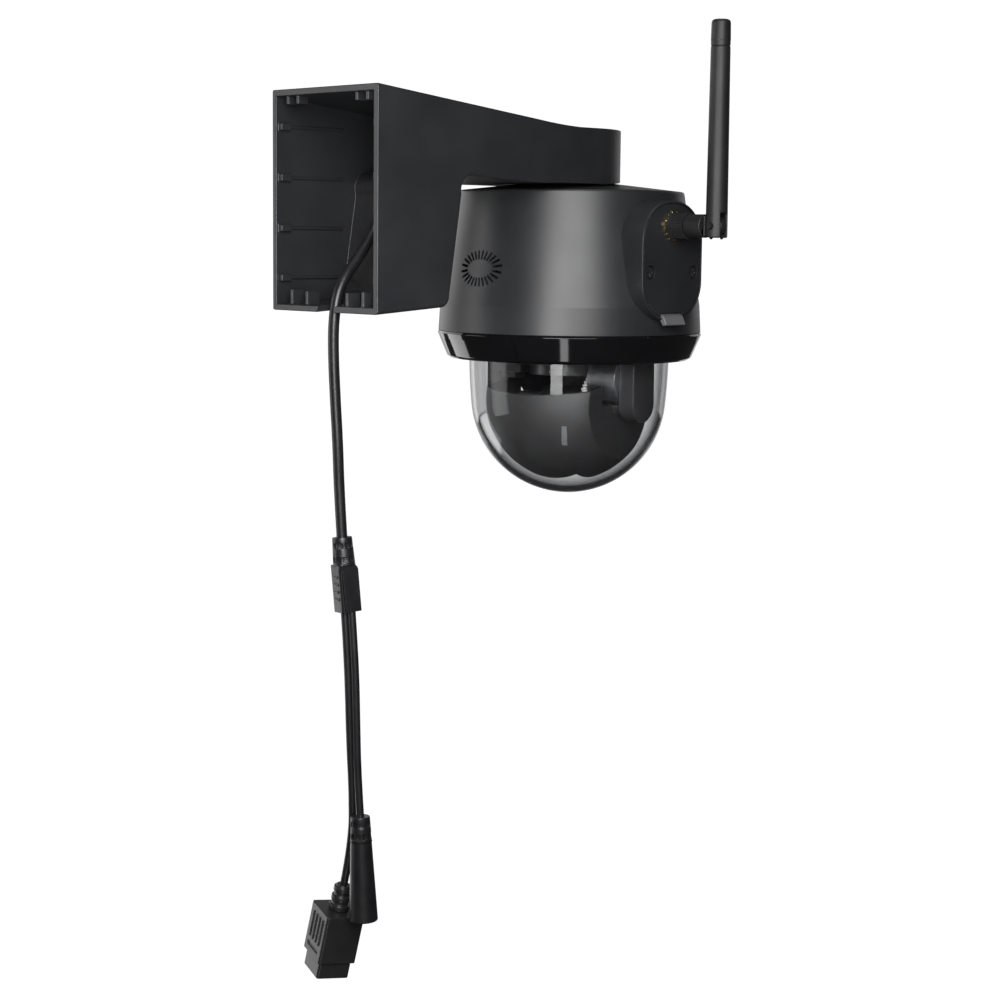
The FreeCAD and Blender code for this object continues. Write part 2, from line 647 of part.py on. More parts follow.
def make_pan_motor():
    """Geared stepper: can, gear head, two lugs and the output boss."""
    x, y = PAN_PINION_X, PAN_PINION_Y
    can = rod(12.0, (x, y, CHASSIS_TOP), (x, y, CHASSIS_TOP + 18))
    can = round_edges(can, 1.0, lambda e: len(e.Vertexes) == 1 and e.BoundBox.ZMin > CHASSIS_TOP + 1)
    lug = box(x - 16, x + 16, y - 3.2, y + 3.2, CHASSIS_TOP, CHASSIS_TOP + 1.0)
    return fuse(can, lug).cut(rod(1.55, (x, y, -70), (x, y, CHASSIS_TOP + 6)))


def make_main_board():
    board = rod(45, (0, AXIS_Y, -22.6), (0, AXIS_Y, -21))
    board = board.cut(rod(11, (0, AXIS_Y, -30), (0, AXIS_Y, -10)))
    parts = [box(-34, -18, AXIS_Y - 8, AXIS_Y + 8, -21, -19), box(16, 30, AXIS_Y - 7, AXIS_Y + 7, -21, -18.5),
             box(-9, 9, AXIS_Y + 22, AXIS_Y + 34, -21, -14), box(-10, 0, AXIS_Y - 36, AXIS_Y - 24, -21, -15),
             box(6, 14, AXIS_Y - 34, AXIS_Y - 26, -21, -12)]
    board = fuse(board, *parts)
    for angle in BOARD_POSTS:
        board = board.cut(rod(1.5, head_point(39, angle, -30), head_point(39, angle, -10)))
    return board


BOARD_POSTS = (20, 110, 160, 290)


def make_board_standoffs():
    posts = []
    for angle in BOARD_POSTS:
        post = rod(2.6, head_point(39, angle, CHASSIS_TOP), head_point(39, angle, -22.6))
        peg = rod(1.4, head_point(39, angle, -22.6), head_point(39, angle, -20.4))
        posts.append(fuse(post, peg))
    return group(posts)


def make_slip_ring():
    """Rotary contact that carries power and picture across the pan axis."""
    body = rod(8.4, (0, AXIS_Y, -52), (0, AXIS_Y, -30))
    cap = rod(10.4, (0, AXIS_Y, -33), (0, AXIS_Y, -30))
    stub = rod(3, (0, AXIS_Y, -30), (0, AXIS_Y, -24))
    return fuse(body, cap, stub)


def make_card_board():
    board = box(-57.0, -55.6, AXIS_Y - 12, AXIS_Y + 12, -50, -22)
    slot = box(-61.2, -57.0, AXIS_Y - 9, AXIS_Y + 1, -44, -28)
    slot = slot.cut(box(-62, -57.6, AXIS_Y - 7.2, AXIS_Y - 0.8, -45, -27))
    switch = box(-59.0, -57.0, AXIS_Y + 4, AXIS_Y + 8, -34, -30)
    guide = tube(2.0, 1.25, (-62.4, AXIS_Y + 6, -40), (-57.0, AXIS_Y + 6, -40))
    return fuse(board, slot, switch, guide)


def make_memory_card():
    card = box(-64.0, -57.9, AXIS_Y - 7.0, AXIS_Y - 1.0, -42, -30.5)
    return card


def make_reset_button():
    return rod(1.2, (-63.6, AXIS_Y + 6, -40), (-57.9, AXIS_Y + 6, -40))


# ---------------------------------------------------------------- pan assembly
def pan_axis_gear():
    gear = gear_blank(PAN_TEETH, PAN_MODULE, 3.6)
    gear.rotate(V(0, 0, 0), Z_AXIS, PINION_ANGLE)
    gear.translate(V(0, AXIS_Y, -60.0))
    return gear.cut(rod(18.0, (0, AXIS_Y, -70), (0, AXIS_Y, -50)))


def make_pan_pinion():
    gear = gear_blank(PAN_PINION_TEETH, PAN_MODULE, 4.6)
    # a gap, not a tooth, faces the big gear's tooth
    gear.rotate(V(0, 0, 0), Z_AXIS, PINION_ANGLE + 180 + 180 / PAN_PINION_TEETH)
    gear.translate(V(PAN_PINION_X, PAN_PINION_Y, -60.4))
    shaft = rod(1.5, (PAN_PINION_X, PAN_PINION_Y, -60.4), (PAN_PINION_X, PAN_PINION_Y, CHASSIS_TOP + 5))
    return fuse(gear, shaft)


def make_turntable():
    """Hollow spindle, dished disc, hub and the two yoke arms, facing -Y before the rest turn."""
    spindle = rod(SPINDLE_R, (0, AXIS_Y, -62), (0, AXIS_Y, -46.4))
    seat = rod(18.0, (0, AXIS_Y, -62), (0, AXIS_Y, -55.0))
    disc = rod(46.5, (0, AXIS_Y, DISC_UNDER), (0, AXIS_Y, -66)).cut(rod(43.5, (0, AXIS_Y, -72), (0, AXIS_Y, -60)))
    hub = rod(20.0, (0, AXIS_Y, -85.0), (0, AXIS_Y, -60))
    arms = []
    for side in (-1, 1):
        inner = side * YOKE_IN
        outer = side * YOKE_OUT
        arm = box(min(inner, outer), max(inner, outer), AXIS_Y - YOKE_R, AXIS_Y + YOKE_R, TILT_Z, DISC_UNDER)
        eye = rod(YOKE_R, (inner, AXIS_Y, TILT_Z), (outer, AXIS_Y, TILT_Z))
        arms.append(fuse(arm, eye))
    whole = fuse(spindle, seat, disc, hub, *arms)
    whole = whole.cut(rod(9.0, (0, AXIS_Y, -90), (0, AXIS_Y, -40)))
    motor_y = AXIS_Y + TILT_MOTOR_DY
    whole = whole.cut(rod(12.4, (-YOKE_IN, motor_y, TILT_MOTOR_Z), (-19.2, motor_y, TILT_MOTOR_Z)))
    whole = whole.cut(box(-19.6, -14.0, AXIS_Y - 9, AXIS_Y + 9, -86, -75.6))
    whole = whole.cut(rod(AXLE_R + 0.05, (0, AXIS_Y, TILT_Z), (60, AXIS_Y, TILT_Z)))
    return to_yoke(whole)


SPINDLE_R = 14.0
DISC_UNDER = -78.0
AXLE_R = 2.5
TILT_CENTRES = TILT_MODULE * (TILT_TEETH + TILT_PINION_TEETH) / 2 + GEAR_SLACK
TILT_MOTOR_DY = 2.0
TILT_MOTOR_Z = TILT_Z + 11.0
TILT_SHAFT_DY = 2.6
TILT_SHAFT_Z = TILT_Z + math.sqrt(TILT_CENTRES ** 2 - TILT_SHAFT_DY ** 2)


def make_pan_retainer():
    """Clip on the spindle, above the bearing."""
    return tube(17.0, SPINDLE_R, (0, AXIS_Y, -47.6), (0, AXIS_Y, -46.4))


def make_tilt_motor():
    """Bright stepper can beside the yoke arm, its offset shaft pointing inwards."""
    y = AXIS_Y + TILT_MOTOR_DY
    can = rod(12.0, (-YOKE_IN, y, TILT_MOTOR_Z), (-21.0, y, TILT_MOTOR_Z))
    can = round_edges(can, 0.8, lambda e: len(e.Vertexes) == 1 and e.BoundBox.XMin > -30)
    can = can.cut(rod(1.3, (-26, AXIS_Y + TILT_SHAFT_DY, TILT_SHAFT_Z), (-15, AXIS_Y + TILT_SHAFT_DY, TILT_SHAFT_Z)))
    return to_yoke(can)


def make_tilt_motor_plate():
    """Plate on the motor's front; its lower eye carries the near end of the tilt axle."""
    y = AXIS_Y + TILT_MOTOR_DY
    plate = rod(11.8, (-21.0, y, TILT_MOTOR_Z), (-19.6, y, TILT_MOTOR_Z))
    eye = rod(5.6, (-21.0, AXIS_Y, TILT_Z), (-19.6, AXIS_Y, TILT_Z))
    web = box(-21.0, -19.6, AXIS_Y - 5.4, AXIS_Y + 7.5, TILT_Z, TILT_Z + 5)
    plate = fuse(plate, eye, web)
    plate = plate.cut(rod(AXLE_R + 0.05, (-60, AXIS_Y, TILT_Z), (60, AXIS_Y, TILT_Z)))
    plate = plate.cut(rod(2.0, (-26, AXIS_Y + TILT_SHAFT_DY, TILT_SHAFT_Z), (-15, AXIS_Y + TILT_SHAFT_DY, TILT_SHAFT_Z)))
    return to_yoke(plate)


def make_tilt_pinion():
    gear = gear_blank(TILT_PINION_TEETH, TILT_MODULE, 3.4)
    gear.rotate(V(0, 0, 0), Z_AXIS, 180 / TILT_PINION_TEETH)
    heading = math.degrees(math.atan2(-(TILT_SHAFT_Z - TILT_Z), -TILT_SHAFT_DY))
    gear = x_gear(gear, heading)
    gear.translate(V(-18.6, AXIS_Y + TILT_SHAFT_DY, TILT_SHAFT_Z))
    shaft = rod(1.25, (-25.6, AXIS_Y + TILT_SHAFT_DY, TILT_SHAFT_Z), (-14.8, AXIS_Y + TILT_SHAFT_DY, TILT_SHAFT_Z))
    return to_yoke(fuse(gear, shaft))


def x_gear(gear, heading):
    """Turn a gear from +Z on to +X with its marked direction at a heading in the YZ plane."""
    copy = gear.copy()
    copy.rotate(V(0, 0, 0), V(1, 1, 1), 120)
    copy.rotate(V(0, 0, 0), X_AXIS, heading)
    return copy


def make_inner_shroud():
    """Dark ball-shaped liner that hides the moving camera; open at the top and in front."""
    centre = V(0, AXIS_Y, TILT_Z)
    skin = 1.7
    flat = 31.0
    outer = Part.makeSphere(SHROUD_R, centre).common(box(-flat, flat, AXIS_Y - 60, AXIS_Y + 60, -200, 0))
    inner = Part.makeSphere(SHROUD_R - skin, centre)
    inner = inner.common(box(-flat + skin, flat - skin, AXIS_Y - 60, AXIS_Y + 60, -200, 0))
    shell = outer.cut(inner)
    lid = box(-70, 70, -90, 90, 0, 90)
    lid.rotate(V(0, 0, 0), X_AXIS, -10)
    lid.translate(V(0, AXIS_Y, TILT_Z + 11.5))
    shell = shell.cut(lid)
    slot = box(-MODULE_HALF_W - 1.6, MODULE_HALF_W + 1.6, AXIS_Y - 60, AXIS_Y, -200, 0)
    swing = box(-MODULE_HALF_W - 1.6, MODULE_HALF_W + 1.6, AXIS_Y - 1, AXIS_Y + 15, -200, TILT_Z)
    side_window = box(-50, -20, AXIS_Y - 13, AXIS_Y + 17, TILT_Z - 1.2, 0)
    gear_room = box(-29.4, -MODULE_HALF_W, AXIS_Y - 15, AXIS_Y + 15, TILT_Z + 3, 0)
    shell = shell.cut(fuse(slot, swing)).cut(side_window).cut(gear_room)
    links = []
    for side in (-1, 1):
        ring = rod(8.0, (side * (flat - 1.0), AXIS_Y, TILT_Z), (side * YOKE_IN, AXIS_Y, TILT_Z))
        links.append(ring.common(box(-60, 60, AXIS_Y - 20, AXIS_Y + 20, -200, TILT_Z - 1.4)))
    shell = fuse(shell, *links).cut(rod(4.6, (-60, AXIS_Y, TILT_Z), (60, AXIS_Y, TILT_Z)))
    return to_yoke(shell)


def make_cable_clamp():
    """Stepped block under the turntable that holds the camera's ribbon cable."""
    upper = box(16, 34.5, AXIS_Y + 8, AXIS_Y + 20, -84.0, DISC_UNDER)
    lower = box(21, 29.5, AXIS_Y + 9, AXIS_Y + 18, -87.2, -84.0)
    return to_yoke(fuse(upper, lower).cut(rod(20.0, (0, AXIS_Y, -90), (0, AXIS_Y, -65))))


# ---------------------------------------------------------------- tilting camera
def make_camera_housing():
    """Front block of the tilting camera, cut from a ball about the tilt axis."""
    centre = V(0, AXIS_Y, TILT_Z)
    ball = Part.makeSphere(MODULE_R, centre)
    block = ball.common(box(-MODULE_HALF_W, MODULE_HALF_W, AXIS_Y - 34.5, AXIS_Y + 0.01, TILT_Z - 33, TILT_Z + 4.5))
    hub = rod(6.0, (-MODULE_HALF_W, AXIS_Y, TILT_Z), (MODULE_HALF_W, AXIS_Y, TILT_Z))
    collar = rod(12.4, (0, AXIS_Y - 34.4, TILT_Z), (0, AXIS_Y - 22, TILT_Z))
    whole = fuse(block, hub, collar)
    whole = whole.cut(rod(10.5, (0, AXIS_Y - 60, TILT_Z), (0, AXIS_Y - 14, TILT_Z)))
    whole = whole.cut(box(-11.0, 11.0, AXIS_Y - 60, AXIS_Y - 19.0, TILT_Z - 24.0, TILT_Z - 14.0))
    whole = whole.cut(rod(AXLE_R, (-60, AXIS_Y, TILT_Z), (60, AXIS_Y, TILT_Z)))
    return to_yoke(whole)


def make_lens_barrel():
    barrel = tube(10.4, 7.8, (0, AXIS_Y - 37.5, TILT_Z), (0, AXIS_Y - 15.6, TILT_Z))
    back = tube(10.4, 3.0, (0, AXIS_Y - 18.5, TILT_Z), (0, AXIS_Y - 15.6, TILT_Z))
    lip = cone(7.8, 9.6, (0, AXIS_Y - 35.0, TILT_Z), (0, AXIS_Y - 37.6, TILT_Z))
    return to_yoke(fuse(barrel, back).cut(lip))


def make_lens_glass():
    """Front element, crowned towards the scene."""
    slab = rod(7.7, (0, AXIS_Y - 36.2, TILT_Z), (0, AXIS_Y - 29.0, TILT_Z))
    crown = Part.makeSphere(15.0, V(0, AXIS_Y - 21.0, TILT_Z))
    return to_yoke(slab.common(crown))


def make_sensor_board():
    board = box(-9, 9, AXIS_Y - 15.6, AXIS_Y - 14.2, TILT_Z - 4.4, TILT_Z + 4.4)
    chip = box(-2.2, 2.2, AXIS_Y - 17.6, AXIS_Y - 15.6, TILT_Z - 1.8, TILT_Z + 1.8)
    room = rod(10.3, (0, AXIS_Y - 20, TILT_Z), (0, AXIS_Y - 10, TILT_Z))
    return to_yoke(fuse(board, chip).common(room))


LAMP_XS = (-7.6, 0.0, 7.6)
LAMP_Z = TILT_Z - 19.0


def make_lamp_board():
    """Infra-red and white lamps below the lens."""
    board = box(-10.9, 10.9, AXIS_Y - 20.6, AXIS_Y - 19.0, LAMP_Z - 4.9, LAMP_Z + 4.9)
    lamps = []
    for x in LAMP_XS:
        lamps.append(rod(2.5, (x, AXIS_Y - 23.4, LAMP_Z), (x, AXIS_Y - 20.6, LAMP_Z)))
    return to_yoke(fuse(board, *lamps))


def make_lamp_window():
    pane = box(-10.95, 10.95, AXIS_Y - 25.4, AXIS_Y - 24.0, LAMP_Z - 4.95, LAMP_Z + 4.95)
    limit = Part.makeSphere(MODULE_R - 0.2, V(0, AXIS_Y, TILT_Z))
    return to_yoke(pane.common(limit))


def make_tilt_gear():
    gear = gear_blank(TILT_TEETH, TILT_MODULE, 2.8)
    heading = math.degrees(math.atan2(TILT_SHAFT_Z - TILT_Z, TILT_SHAFT_DY))
    gear = x_gear(gear, heading)
    gear.translate(V(-18.4, AXIS_Y, TILT_Z))
    # only a sector is needed; the rest is trimmed back to a small hub
    sector = box(-20, -10, AXIS_Y - 20, AXIS_Y + 20, TILT_Z - 4.2, TILT_Z + 20)
    hub = rod(5.8, (-18.4, AXIS_Y, TILT_Z), (-MODULE_HALF_W, AXIS_Y, TILT_Z))
    whole = fuse(gear.common(sector), hub)
    return to_yoke(whole.cut(rod(AXLE_R, (-60, AXIS_Y, TILT_Z), (60, AXIS_Y, TILT_Z))))


def make_tilt_axle():
    """Axle through the camera, running in the motor plate and the far yoke arm."""
    return to_yoke(rod(AXLE_R, (-20.8, AXIS_Y, TILT_Z), (43.8, AXIS_Y, TILT_Z)))


# ---------------------------------------------------------------- lead
LEAD_ROUTE = [
    (0.0, -145.0, 26.2), (0.0, -134.5, 26.2), (0.8, -120.5, 20.6), (0.4, -103.0, 17.4), (-0.4, -84.0, 17.2),
    (-0.8, -68.0, 20.2), (-0.4, -55.5, 22.4), (0.0, -44.5, 17.0), (0.2, -37.4, 4.0), (0.0, -31.6, -10.5),
    (-0.4, -21.5, -25.0), (-1.1, -9.2, -37.5), (-1.8, -4.8, -51.5), (-0.6, -5.2, -67.1), (-0.1, -6.8, -89.4),
    (-0.4, -8.2, -111.5), (0.6, -9.9, -134.0), (-0.2, -11.0, -156.3),
]
SPLITTER_TOP = LEAD_ROUTE[-1]
POWER_ROUTE = [
    (-5.1, -13.0, -191.3), (-6.1, -13.3, -204.0), (-7.4, -13.6, -224.0), (-8.0, -13.7, -246.0),
    (-8.7, -13.8, -268.5), (-10.1, -14.4, -289.4),
]
NETWORK_ROUTE = [
    (-1.3, -11.8, -191.7), (-2.3, -12.1, -204.0), (-3.7, -12.4, -228.0), (-4.4, -12.7, -254.0),
    (-4.6, -14.2, -279.5), (-1.0, -17.0, -304.0), (4.8, -16.6, -326.6),
]


def cord(name, route, radius):
    """Round cord: straight runs joined by arcs as large as the runs allow."""
    points = [V(*p) for p in route]
    edges = []
    here = points[0]
    radii = []
    for before, corner, after in zip(points, points[1:], points[2:]):
        way_in = corner - before
        way_out = after - corner
        turn = way_in.getAngle(way_out)
        shorter = min(way_in.Length, way_out.Length)
        bend = 0.45 * shorter / math.tan(turn / 2)
        radii.append(bend)
        reach = 0.45 * shorter
        start = corner - way_in * (reach / way_in.Length)
        end = corner + way_out * (reach / way_out.Length)
        inward = (start + end) * 0.5 - corner
        to_arc = bend / math.cos(turn / 2) - bend
        middle = corner + inward * (to_arc / inward.Length)
        edges.append(Part.LineSegment(here, start).toShape())
        edges.append(Part.Arc(start, middle, end).toShape())
        here = end
    edges.append(Part.LineSegment(here, points[-1]).toShape())
    path = Part.Wire(edges)
    ring = Part.Wire([Part.Circle(points[0], points[1] - points[0], radius).toShape()])
    solid = path.makePipeShell([ring], True, False)
    expected = math.pi * radius ** 2 * path.Length
    print(f"{name}: length {path.Length:.1f} mm, tightest bend {min(radii):.1f} mm, "
          f"volume ratio {solid.Volume / expected:.4f}")
    return solid


def leaning(shape, top, down, spin=0.0):
    """Turn a piece built down -Z from the origin to hang from a point along a direction."""
    copy = shape.copy()
    copy.rotate(V(0, 0, 0), Z_AXIS, spin)
    turn = FreeCAD.Rotation(V(0, 0, -1), V(*down))
    copy.Placement = FreeCAD.Placement(V(0, 0, 0), turn).multiply(copy.Placement)
    copy.translate(V(*top))
    return copy


def ribbed_neck(radius_top, radius_low, length, ribs):
    """Strain relief that hangs down -Z, with proud rings along it."""
    pieces = [cone(radius_top, radius_low, (0, 0, 0), (0, 0, -length))]
    for index in range(ribs):
        z = -length * (index + 0.5) / ribs
        r = radius_top + (radius_low - radius_top) * (index + 0.5) / ribs
        pieces.append(rod(r + 0.9, (0, 0, z + 1.3), (0, 0, z - 1.3)))
    return fuse(pieces[0], *pieces[1:])


def windowed_neck(radius_top, radius_low, length, rows):
    """Strain relief that hangs down -Z, with rows of short windows so that it flexes."""
    sleeve = cone(radius_top, radius_low, (0, 0, 0), (0, 0, -length))
    windows = []
    for row in range(rows):
        z = -length * (row + 0.62) / (rows + 0.1)
        for turn in range(0, 360, 36):
            window = box(radius_top - 0.7, radius_low + 2, -1.0, 1.0, z - 1.2, z + 1.2)
            window.rotate(V(0, 0, 0), Z_AXIS, turn + 18 * row)
            windows.append(window)
    return sleeve.cut(group(windows))


def from_to(start, end):
    """Step between two points."""
    return tuple(b - a for a, b in zip(start, end))


LEAD_SPLIT_CENTRE = tuple((a + b) / 2 for a, b in zip(POWER_ROUTE[0], NETWORK_ROUTE[0]))
SPLIT_WAY = from_to(SPLITTER_TOP, LEAD_SPLIT_CENTRE)


SPLITTER_SPIN = -13.3


def make_lead_splitter():
    """Moulded block where the lead becomes two tails."""
    length = math.sqrt(sum(c * c for c in SPLIT_WAY))
    neck = windowed_neck(4.7, 5.3, 13.4, 2)
    block = box(-4.2, 4.2, -5.2, 5.2, -length, -12.8)
    block = round_edges(block, 3.0, lambda e: e.BoundBox.ZMin > -12.9 and e.BoundBox.YMax < -5.1)
    groove = box(-5, -2.9, 3.1, 4.3, -length - 1, -15.5)
    ribs = [box(-2.4, 2.4, 5.0, 5.8, z - 0.6, z + 0.6) for z in (-18.5, -22.0, -25.5, -29.0)]
    return leaning(fuse(neck, block, *ribs).cut(groove), SPLITTER_TOP, SPLIT_WAY, SPLITTER_SPIN)


POWER_WAY = (-1.9, -0.6, -48.5)
NETWORK_WAY = (5.9, 2.2, -28.0)
NETWORK_SPIN = -15.4


def make_power_socket():
    neck = windowed_neck(4.6, 5.2, 12.0, 2)
    body = cone(5.1, 6.9, (0, 0, -11.8), (0, 0, -50.8))
    body = round_edges(body, 0.8, lambda e: abs(e.BoundBox.ZMin + 50.8) < 0.01 and len(e.Vertexes) == 1)
    whole = fuse(neck, body).cut(rod(2.8, (0, 0, -60), (0, 0, -41)))
    return leaning(whole, POWER_ROUTE[-1], POWER_WAY)


def make_power_pin():
    pin = rod(1.05, (0, 0, -49.3), (0, 0, -41))
    return leaning(pin, POWER_ROUTE[-1], POWER_WAY)


def make_network_socket():
    neck = ribbed_neck(3.4, 4.4, 13.6, 3)
    block = box(-10, 10, -9.8, 9.8, -37.5, -13)
    block = round_edges(block, 1.3, is_vertical)
    mouth = box(-8.6, 8.6, -8.4, 8.4, -46, -37)
    mouth = round_edges(mouth, 1.3, is_vertical)
    slit = box(-6, 6, 9.2, 11, -34, -32.4)
    ribs = [box(x - 0.6, x + 0.6, 9.6, 10.3, -29.5, -16.5) for x in (-5.4, -1.8, 1.8, 5.4)]
    opening = box(-5.9, 5.9, -4.1, 4.1, -50, -33)
    key = box(-3.1, 3.1, -6.0, -3.0, -50, -36)
    whole = fuse(neck, block, mouth, *ribs).cut(fuse(opening, key)).cut(slit)
    return leaning(whole, NETWORK_ROUTE[-1], NETWORK_WAY, NETWORK_SPIN)


def make_network_contacts():
    pins = []
    for index in range(8):
        x = (index - 3.5) * 1.02
        pins.append(box(x - 0.2, x + 0.2, 3.0, 4.1, -41, -33))
    return leaning(group(pins), NETWORK_ROUTE[-1], NETWORK_WAY, NETWORK_SPIN)


# ---------------------------------------------------------------- build
MAKERS = {
    "wall_bracket": make_wall_bracket, "arm_gasket": make_arm_gasket, "arm_screws": make_arm_screws,
    "cable_gland": make_cable_gland, "cable_boot": make_cable_boot, "housing_shell": make_housing_shell,
    "speaker": make_speaker, "side_cover": make_side_cover, "side_cover_gasket": make_side_cover_gasket,
    "side_cover_screws": make_side_cover_screws, "cover_pull_tab": make_cover_pull_tab,
    "antenna_connector": make_antenna_connector, "connector_washer": make_connector_washer,
    "connector_nut": make_connector_nut, "antenna_coupling_nut": make_antenna_coupling_nut,
    "antenna_barrel": make_antenna_barrel, "antenna_hinge_pin": make_antenna_hinge_pin,
    "antenna_whip": make_antenna_whip, "antenna_cap": make_antenna_cap, "trim_ring": make_trim_ring,
    "ring_screws": make_ring_screws, "dome_window": make_dome_window, "dome_gasket": make_dome_gasket,
    "dome_retainer": make_dome_retainer,
    "chassis_plate": make_chassis_plate, "chassis_screws": make_chassis_screws,
    "pan_bearing": make_pan_bearing, "pan_motor": make_pan_motor, "main_board": make_main_board,
    "board_standoffs": make_board_standoffs, "slip_ring": make_slip_ring, "card_board": make_card_board,
    "memory_card": make_memory_card, "reset_button": make_reset_button, "pan_gear": pan_axis_gear,
    "pan_pinion": make_pan_pinion, "turntable": make_turntable, "pan_retainer": make_pan_retainer,
    "tilt_motor": make_tilt_motor, "tilt_motor_plate": make_tilt_motor_plate, "tilt_pinion": make_tilt_pinion, "inner_shroud": make_inner_shroud,
    "cable_clamp": make_cable_clamp, "camera_housing": make_camera_housing, "lens_barrel": make_lens_barrel,
    "lens_glass": make_lens_glass, "sensor_board": make_sensor_board, "lamp_board": make_lamp_board,
    "lamp_window": make_lamp_window, "tilt_gear": make_tilt_gear, "tilt_axle": make_tilt_axle,
    "lead_splitter": make_lead_splitter, "power_socket": make_power_socket, "power_pin": make_power_pin,
    "network_socket": make_network_socket, "network_contacts": make_network_contacts,
}


def main():
    os.makedirs("parts", exist_ok=True)
    for name, maker in MAKERS.items():
        NODES[name] = maker()
    NODES["main_lead"] = cord("main_lead", LEAD_ROUTE, LEAD_R)
    NODES["power_tail"] = cord("power_tail", POWER_ROUTE, TAIL_R)
    NODES["network_tail"] = cord("network_tail", NETWORK_ROUTE, TAIL_R)
    for name, shape in NODES.items():
        solids = shape.Solids
        if not solids or not shape.isValid():
            print(f"{name}: not a valid solid")
        shape.exportStep(f"parts/{name}.step")
        print(f"{name}: {len(solids)} solid(s), {sum(s.Volume for s in solids):.0f} mm3")


main()
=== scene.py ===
"""Looks of the pan-tilt security camera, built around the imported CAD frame.

Same frame as the CAD: +Z up, origin at the centre of the bracket's rear face,
+Y into the wall.  Dimensions are in millimetres, scaled to metres where geometry
is made.  The camera and the lights are placed in metres.
"""

import math

import bmesh
import bpy
from mathutils import Matrix, Vector


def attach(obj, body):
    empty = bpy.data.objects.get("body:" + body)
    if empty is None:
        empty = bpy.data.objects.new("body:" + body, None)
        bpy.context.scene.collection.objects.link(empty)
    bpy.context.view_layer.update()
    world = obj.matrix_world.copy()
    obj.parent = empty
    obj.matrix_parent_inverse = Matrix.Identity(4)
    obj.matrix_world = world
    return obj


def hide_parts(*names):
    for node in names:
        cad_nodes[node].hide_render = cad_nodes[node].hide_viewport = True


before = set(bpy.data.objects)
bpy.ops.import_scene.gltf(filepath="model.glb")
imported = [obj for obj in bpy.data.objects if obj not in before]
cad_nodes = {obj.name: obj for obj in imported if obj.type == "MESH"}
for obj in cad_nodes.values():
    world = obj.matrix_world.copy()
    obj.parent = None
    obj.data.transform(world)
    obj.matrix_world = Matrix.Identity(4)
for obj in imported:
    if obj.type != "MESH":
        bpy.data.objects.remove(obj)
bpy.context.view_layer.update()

MM = 0.001
TAU = 2 * math.pi
AXIS_Y = -160.5     # upright axis of the head
SEAM_Z = -62.9      # seam between the housing and the trim ring


# ------------------------------------------------------------------ camera
CAMERA_PLACE = Vector((-0.75944, 0.60541, -0.01671))
CAMERA_YAW = math.radians(46.589)
CAMERA_PITCH = math.radians(7.090)
CAMERA_ROLL = math.radians(0.6365)
CAMERA_LENS = 75.55


def make_camera():
    """Camera behind the wall plane, on the antenna's side, looking slightly down."""
    ahead = Vector((math.sin(CAMERA_YAW) * math.cos(CAMERA_PITCH),
                    -math.cos(CAMERA_YAW) * math.cos(CAMERA_PITCH), -math.sin(CAMERA_PITCH)))
    level_right = Vector((-math.cos(CAMERA_YAW), -math.sin(CAMERA_YAW), 0))
    level_up = level_right.cross(ahead)
    right = math.cos(CAMERA_ROLL) * level_right + math.sin(CAMERA_ROLL) * level_up
    up = -math.sin(CAMERA_ROLL) * level_right + math.cos(CAMERA_ROLL) * level_up
    data = bpy.data.cameras.new("camera")
    data.sensor_width = 36
    data.lens = CAMERA_LENS
    data.clip_start = 0.01
    data.clip_end = 50
    camera = bpy.data.objects.new("camera", data)
    bpy.context.scene.collection.objects.link(camera)
    turn = Matrix((right, up, -ahead)).transposed().to_4x4()
    camera.matrix_world = Matrix.Translation(CAMERA_PLACE) @ turn
    bpy.context.scene.camera = camera


make_camera()


# ------------------------------------------------------------------ materials
POLISH_FINENESS = 2.3    # roughness varies on this much finer a scale than colour


def ramp(tree, source, low, high, start=0.35, end=0.65):
    """Colour ramp between two colours, driven by a factor."""
    node = tree.nodes.new("ShaderNodeValToRGB")
    node.color_ramp.elements[0].position = start
    node.color_ramp.elements[0].color = (*low, 1)
    node.color_ramp.elements[1].position = end
    node.color_ramp.elements[1].color = (*high, 1)
    tree.links.new(source, node.inputs["Fac"])
    return node.outputs["Color"]


def scaled(tree, source, low, high):
    """Map a 0..1 value to a range."""
    node = tree.nodes.new("ShaderNodeMapRange")
    node.inputs["To Min"].default_value = low
    node.inputs["To Max"].default_value = high
    tree.links.new(source, node.inputs["Value"])
    return node.outputs["Result"]


def noise(tree, scale, detail, stretch):
    """Noise in object space; a stretch, if given, scales its axes one by one."""
    coords = tree.nodes.new("ShaderNodeTexCoord").outputs["Object"]
    if stretch is not None:
        mapping = tree.nodes.new("ShaderNodeMapping")
        mapping.inputs["Scale"].default_value = stretch
        tree.links.new(coords, mapping.inputs["Vector"])
        coords = mapping.outputs["Vector"]
    node = tree.nodes.new("ShaderNodeTexNoise")
    node.inputs["Scale"].default_value = scale
    node.inputs["Detail"].default_value = detail
    tree.links.new(coords, node.inputs["Vector"])
    return node.outputs["Fac"]


def add_bump(tree, height, strength, distance):
    """Normal tilted by a height value."""
    node = tree.nodes.new("ShaderNodeBump")
    node.inputs["Strength"].default_value = strength
    node.inputs["Distance"].default_value = distance
    tree.links.new(height, node.inputs["Height"])
    return node.outputs["Normal"]


